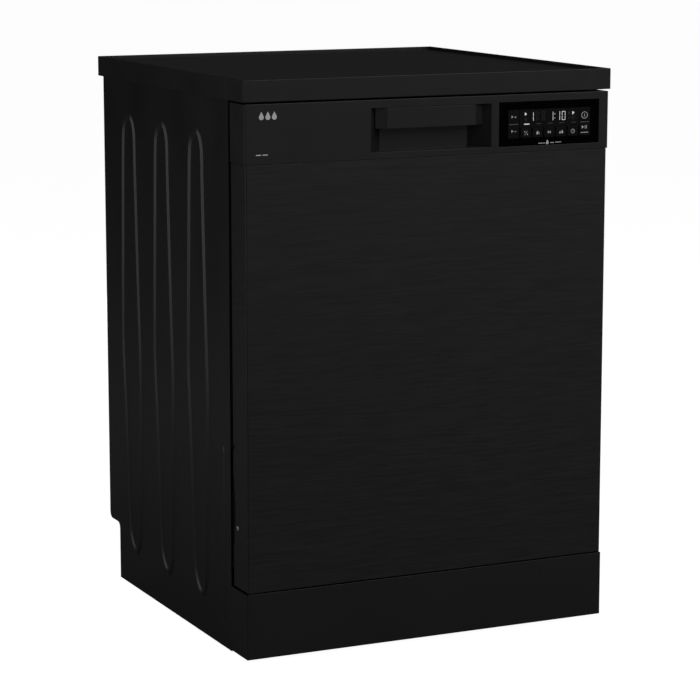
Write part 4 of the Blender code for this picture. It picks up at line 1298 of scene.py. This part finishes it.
class BuildUnderside(bpy.types.Operator):
    """Base, feet, pumps, softener, springs, hinges, back panel and hose ends"""

    bl_idname = "dishwasher.underside"
    bl_label = "Underside and back"

    def execute(self, context):
        softened("base_tray", 0.0012)
        softened("circulation_pump", 0.0025, 3, 35)
        softened("water_softener", 0.0045, 3, 35)
        softened("front_crossbar", 0.0005)
        for side, word in ((-1, "left"), (1, "right")):
            softened(f"hinge_bracket_{word}", 0.0005, 2, 35)
            softened(f"hinge_arm_{word}", 0.0006, 2, 35)
            empty = plain_object(f"spring_{word}", bmesh.new())
            values = {"Coil radius": 0.0050, "Wire radius": 0.0010, "Turns": 52.0, "Length": 0.2265}
            turn = Matrix.Translation((side * 0.2825, 0.029, 0.127)) @ Matrix.Rotation(math.radians(90), 4, "X")
            grown(empty, "coil", "zinc", "cabinet", (f"hinge_spring_{word}",), turn, **values)
        for x in (-0.275, 0.275):
            for y, place in ((-0.195, "front"), (0.195, "rear")):
                name = f"foot_{place}_{'left' if x < 0 else 'right'}"
                profile = [(0.0150, 0.0), (0.0168, 0.0012), (0.0170, 0.0050)]
                profile += [(0.0160, 0.0066), (0.0105, 0.0078), (0.0052, 0.0080)]
                bm = turned("z", x, y, profile, 36)
                slab(bm, "z", circle(x, y, 0.0088, 6), 0.0078, 0.0140)
                merge(bm, ringed("z", x, y, 0.0010, 0.0130, 0.0568, 0.0051, 0.0008, 0.0020, 20))
                add_piece(f"{name}_turned", bm, "rubber", name, (name,), 35)
        thread = ringed("y", -0.200, 0.045, 0.0097, 0.2440, 0.2618, 0.0129, 0.0006, 0.0026)
        softened("inlet_valve", 0.0012, 2, 35, extra=thread)
        barbs = bmesh.new()
        for y in (0.2390, 0.2460, 0.2530):
            merge(barbs, turned("y", 0.200, 0.060, [(0.0088, y), (0.0106, y + 0.0004), (0.0089, y + 0.0058)], 28))
        softened("drain_pump", 0.0012, 2, 35, extra=barbs)
        softened("mains_inlet", 0.0020, 3)
        self.back_panel()
        return {"FINISHED"}

    def back_panel(self):
        low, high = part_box("rear_panel")
        face = high.y
        bm = bmesh.new()

        def ring(outline, y):
            return [bm.verts.new((x, y, z)) for x, z in outline]

        outer = ring(rounded_outline(low.x, high.x, low.z, high.z, 0.003, 3), face)
        loops = [outer]
        for z0, z1 in ((0.150, 0.435), (0.475, 0.765)):
            rings = []
            for inset, out in ((0.0, 0.0), (0.0015, 0.0006), (0.0060, 0.0026), (0.0080, 0.0030)):
                rings.append(ring(rounded_outline(-0.232, 0.232, z0, z1, 0.026, 6, inset), face + out))
            bridge(bm, rings)
            bm.faces.new(rings[-1])
            loops.append(rings[0])
        fill_between(bm, loops)
        face_towards(bm, "y", 1)
        add_piece("back_sheet", bm, "zinc", "cabinet", ("rear_panel",), 35, wall=0.0008)
        spots = []
        for x in (-0.272, 0.272):
            spots += [((x, face, z), (0, 1, 0)) for z in (0.112, 0.285, 0.455, 0.625, 0.803)]
        spots += [((x, face, 0.803), (0, 1, 0)) for x in (-0.14, 0.14)]
        screws("back_screws", spots, "cabinet")
        louvre = bmesh.new()
        rings = []
        for inset, out in ((0.0, -0.0002), (0.0006, 0.0009), (0.0020, 0.0018)):
            half, deep = 0.030 - inset, 0.0030 - inset * 0.6
            rings.append([(x, y, out) for x, y in rounded_outline(-half, half, -deep, deep, 0.0016, 3)])
        made = loft(louvre, rings)
        louvre.faces.new(made[0])
        louvre.faces.new(made[-1])
        outwards(louvre)
        spots = [((x, face + 0.0030, 0.690 + 0.0125 * i), (0, 1, 0)) for x in (-0.150, 0.150) for i in range(5)]
        repeated("back_louvres", louvre, spots, "zinc", "cabinet")


class FinishCadNodes(bpy.types.Operator):
    """Procedural finishes on the CAD nodes that keep their shape"""

    bl_idname = "dishwasher.cad_finishes"
    bl_label = "Plain nodes"

    def execute(self, context):
        for node, obj in FRAME["nodes"].items():
            if not obj.hide_render:
                give_finish(obj, SLOT[node])
        return {"FINISHED"}


class DishwasherPanel(bpy.types.Panel):
    """Sizes, colours and steps of the dishwasher"""

    bl_idname = "VIEW3D_PT_dishwasher"
    bl_label = "Dishwasher"
    bl_space_type = "VIEW_3D"
    bl_region_type = "UI"
    bl_category = "Dishwasher"

    def draw(self, context):
        for group in (outside(), inside(), lamps()):
            for name in group.__annotations__:
                self.layout.prop(group, name)
        for step in STEPS:
            self.layout.operator(step.bl_idname)


GROUPS = {
    "dishwasher_outside": OutsideSettings,
    "dishwasher_inside": InsideSettings,
    "dishwasher_lights": LightSettings,
}
STEPS = (
    BuildStage, BuildWorktop, BuildSidePanels, BuildDoorOutside, BuildDisplay, BuildTub,
    BuildInnerDoor, BuildRacks, BuildSprays, BuildUnderside, FinishCadNodes,
)


def register():
    for name, group in GROUPS.items():
        bpy.utils.register_class(group)
        setattr(bpy.types.Scene, name, PointerProperty(type=group))
    for step in (*STEPS, DishwasherPanel):
        bpy.utils.register_class(step)


def unregister():
    for step in reversed((*STEPS, DishwasherPanel)):
        bpy.utils.unregister_class(step)
    for name, group in reversed(GROUPS.items()):
        delattr(bpy.types.Scene, name)
        bpy.utils.unregister_class(group)


def main():
    register()
    FINISH.update(make_finishes())
    for step in STEPS:
        family, action = step.bl_idname.split(".")
        getattr(getattr(bpy.ops, family), action)()


if __name__ == "__main__":
    main()
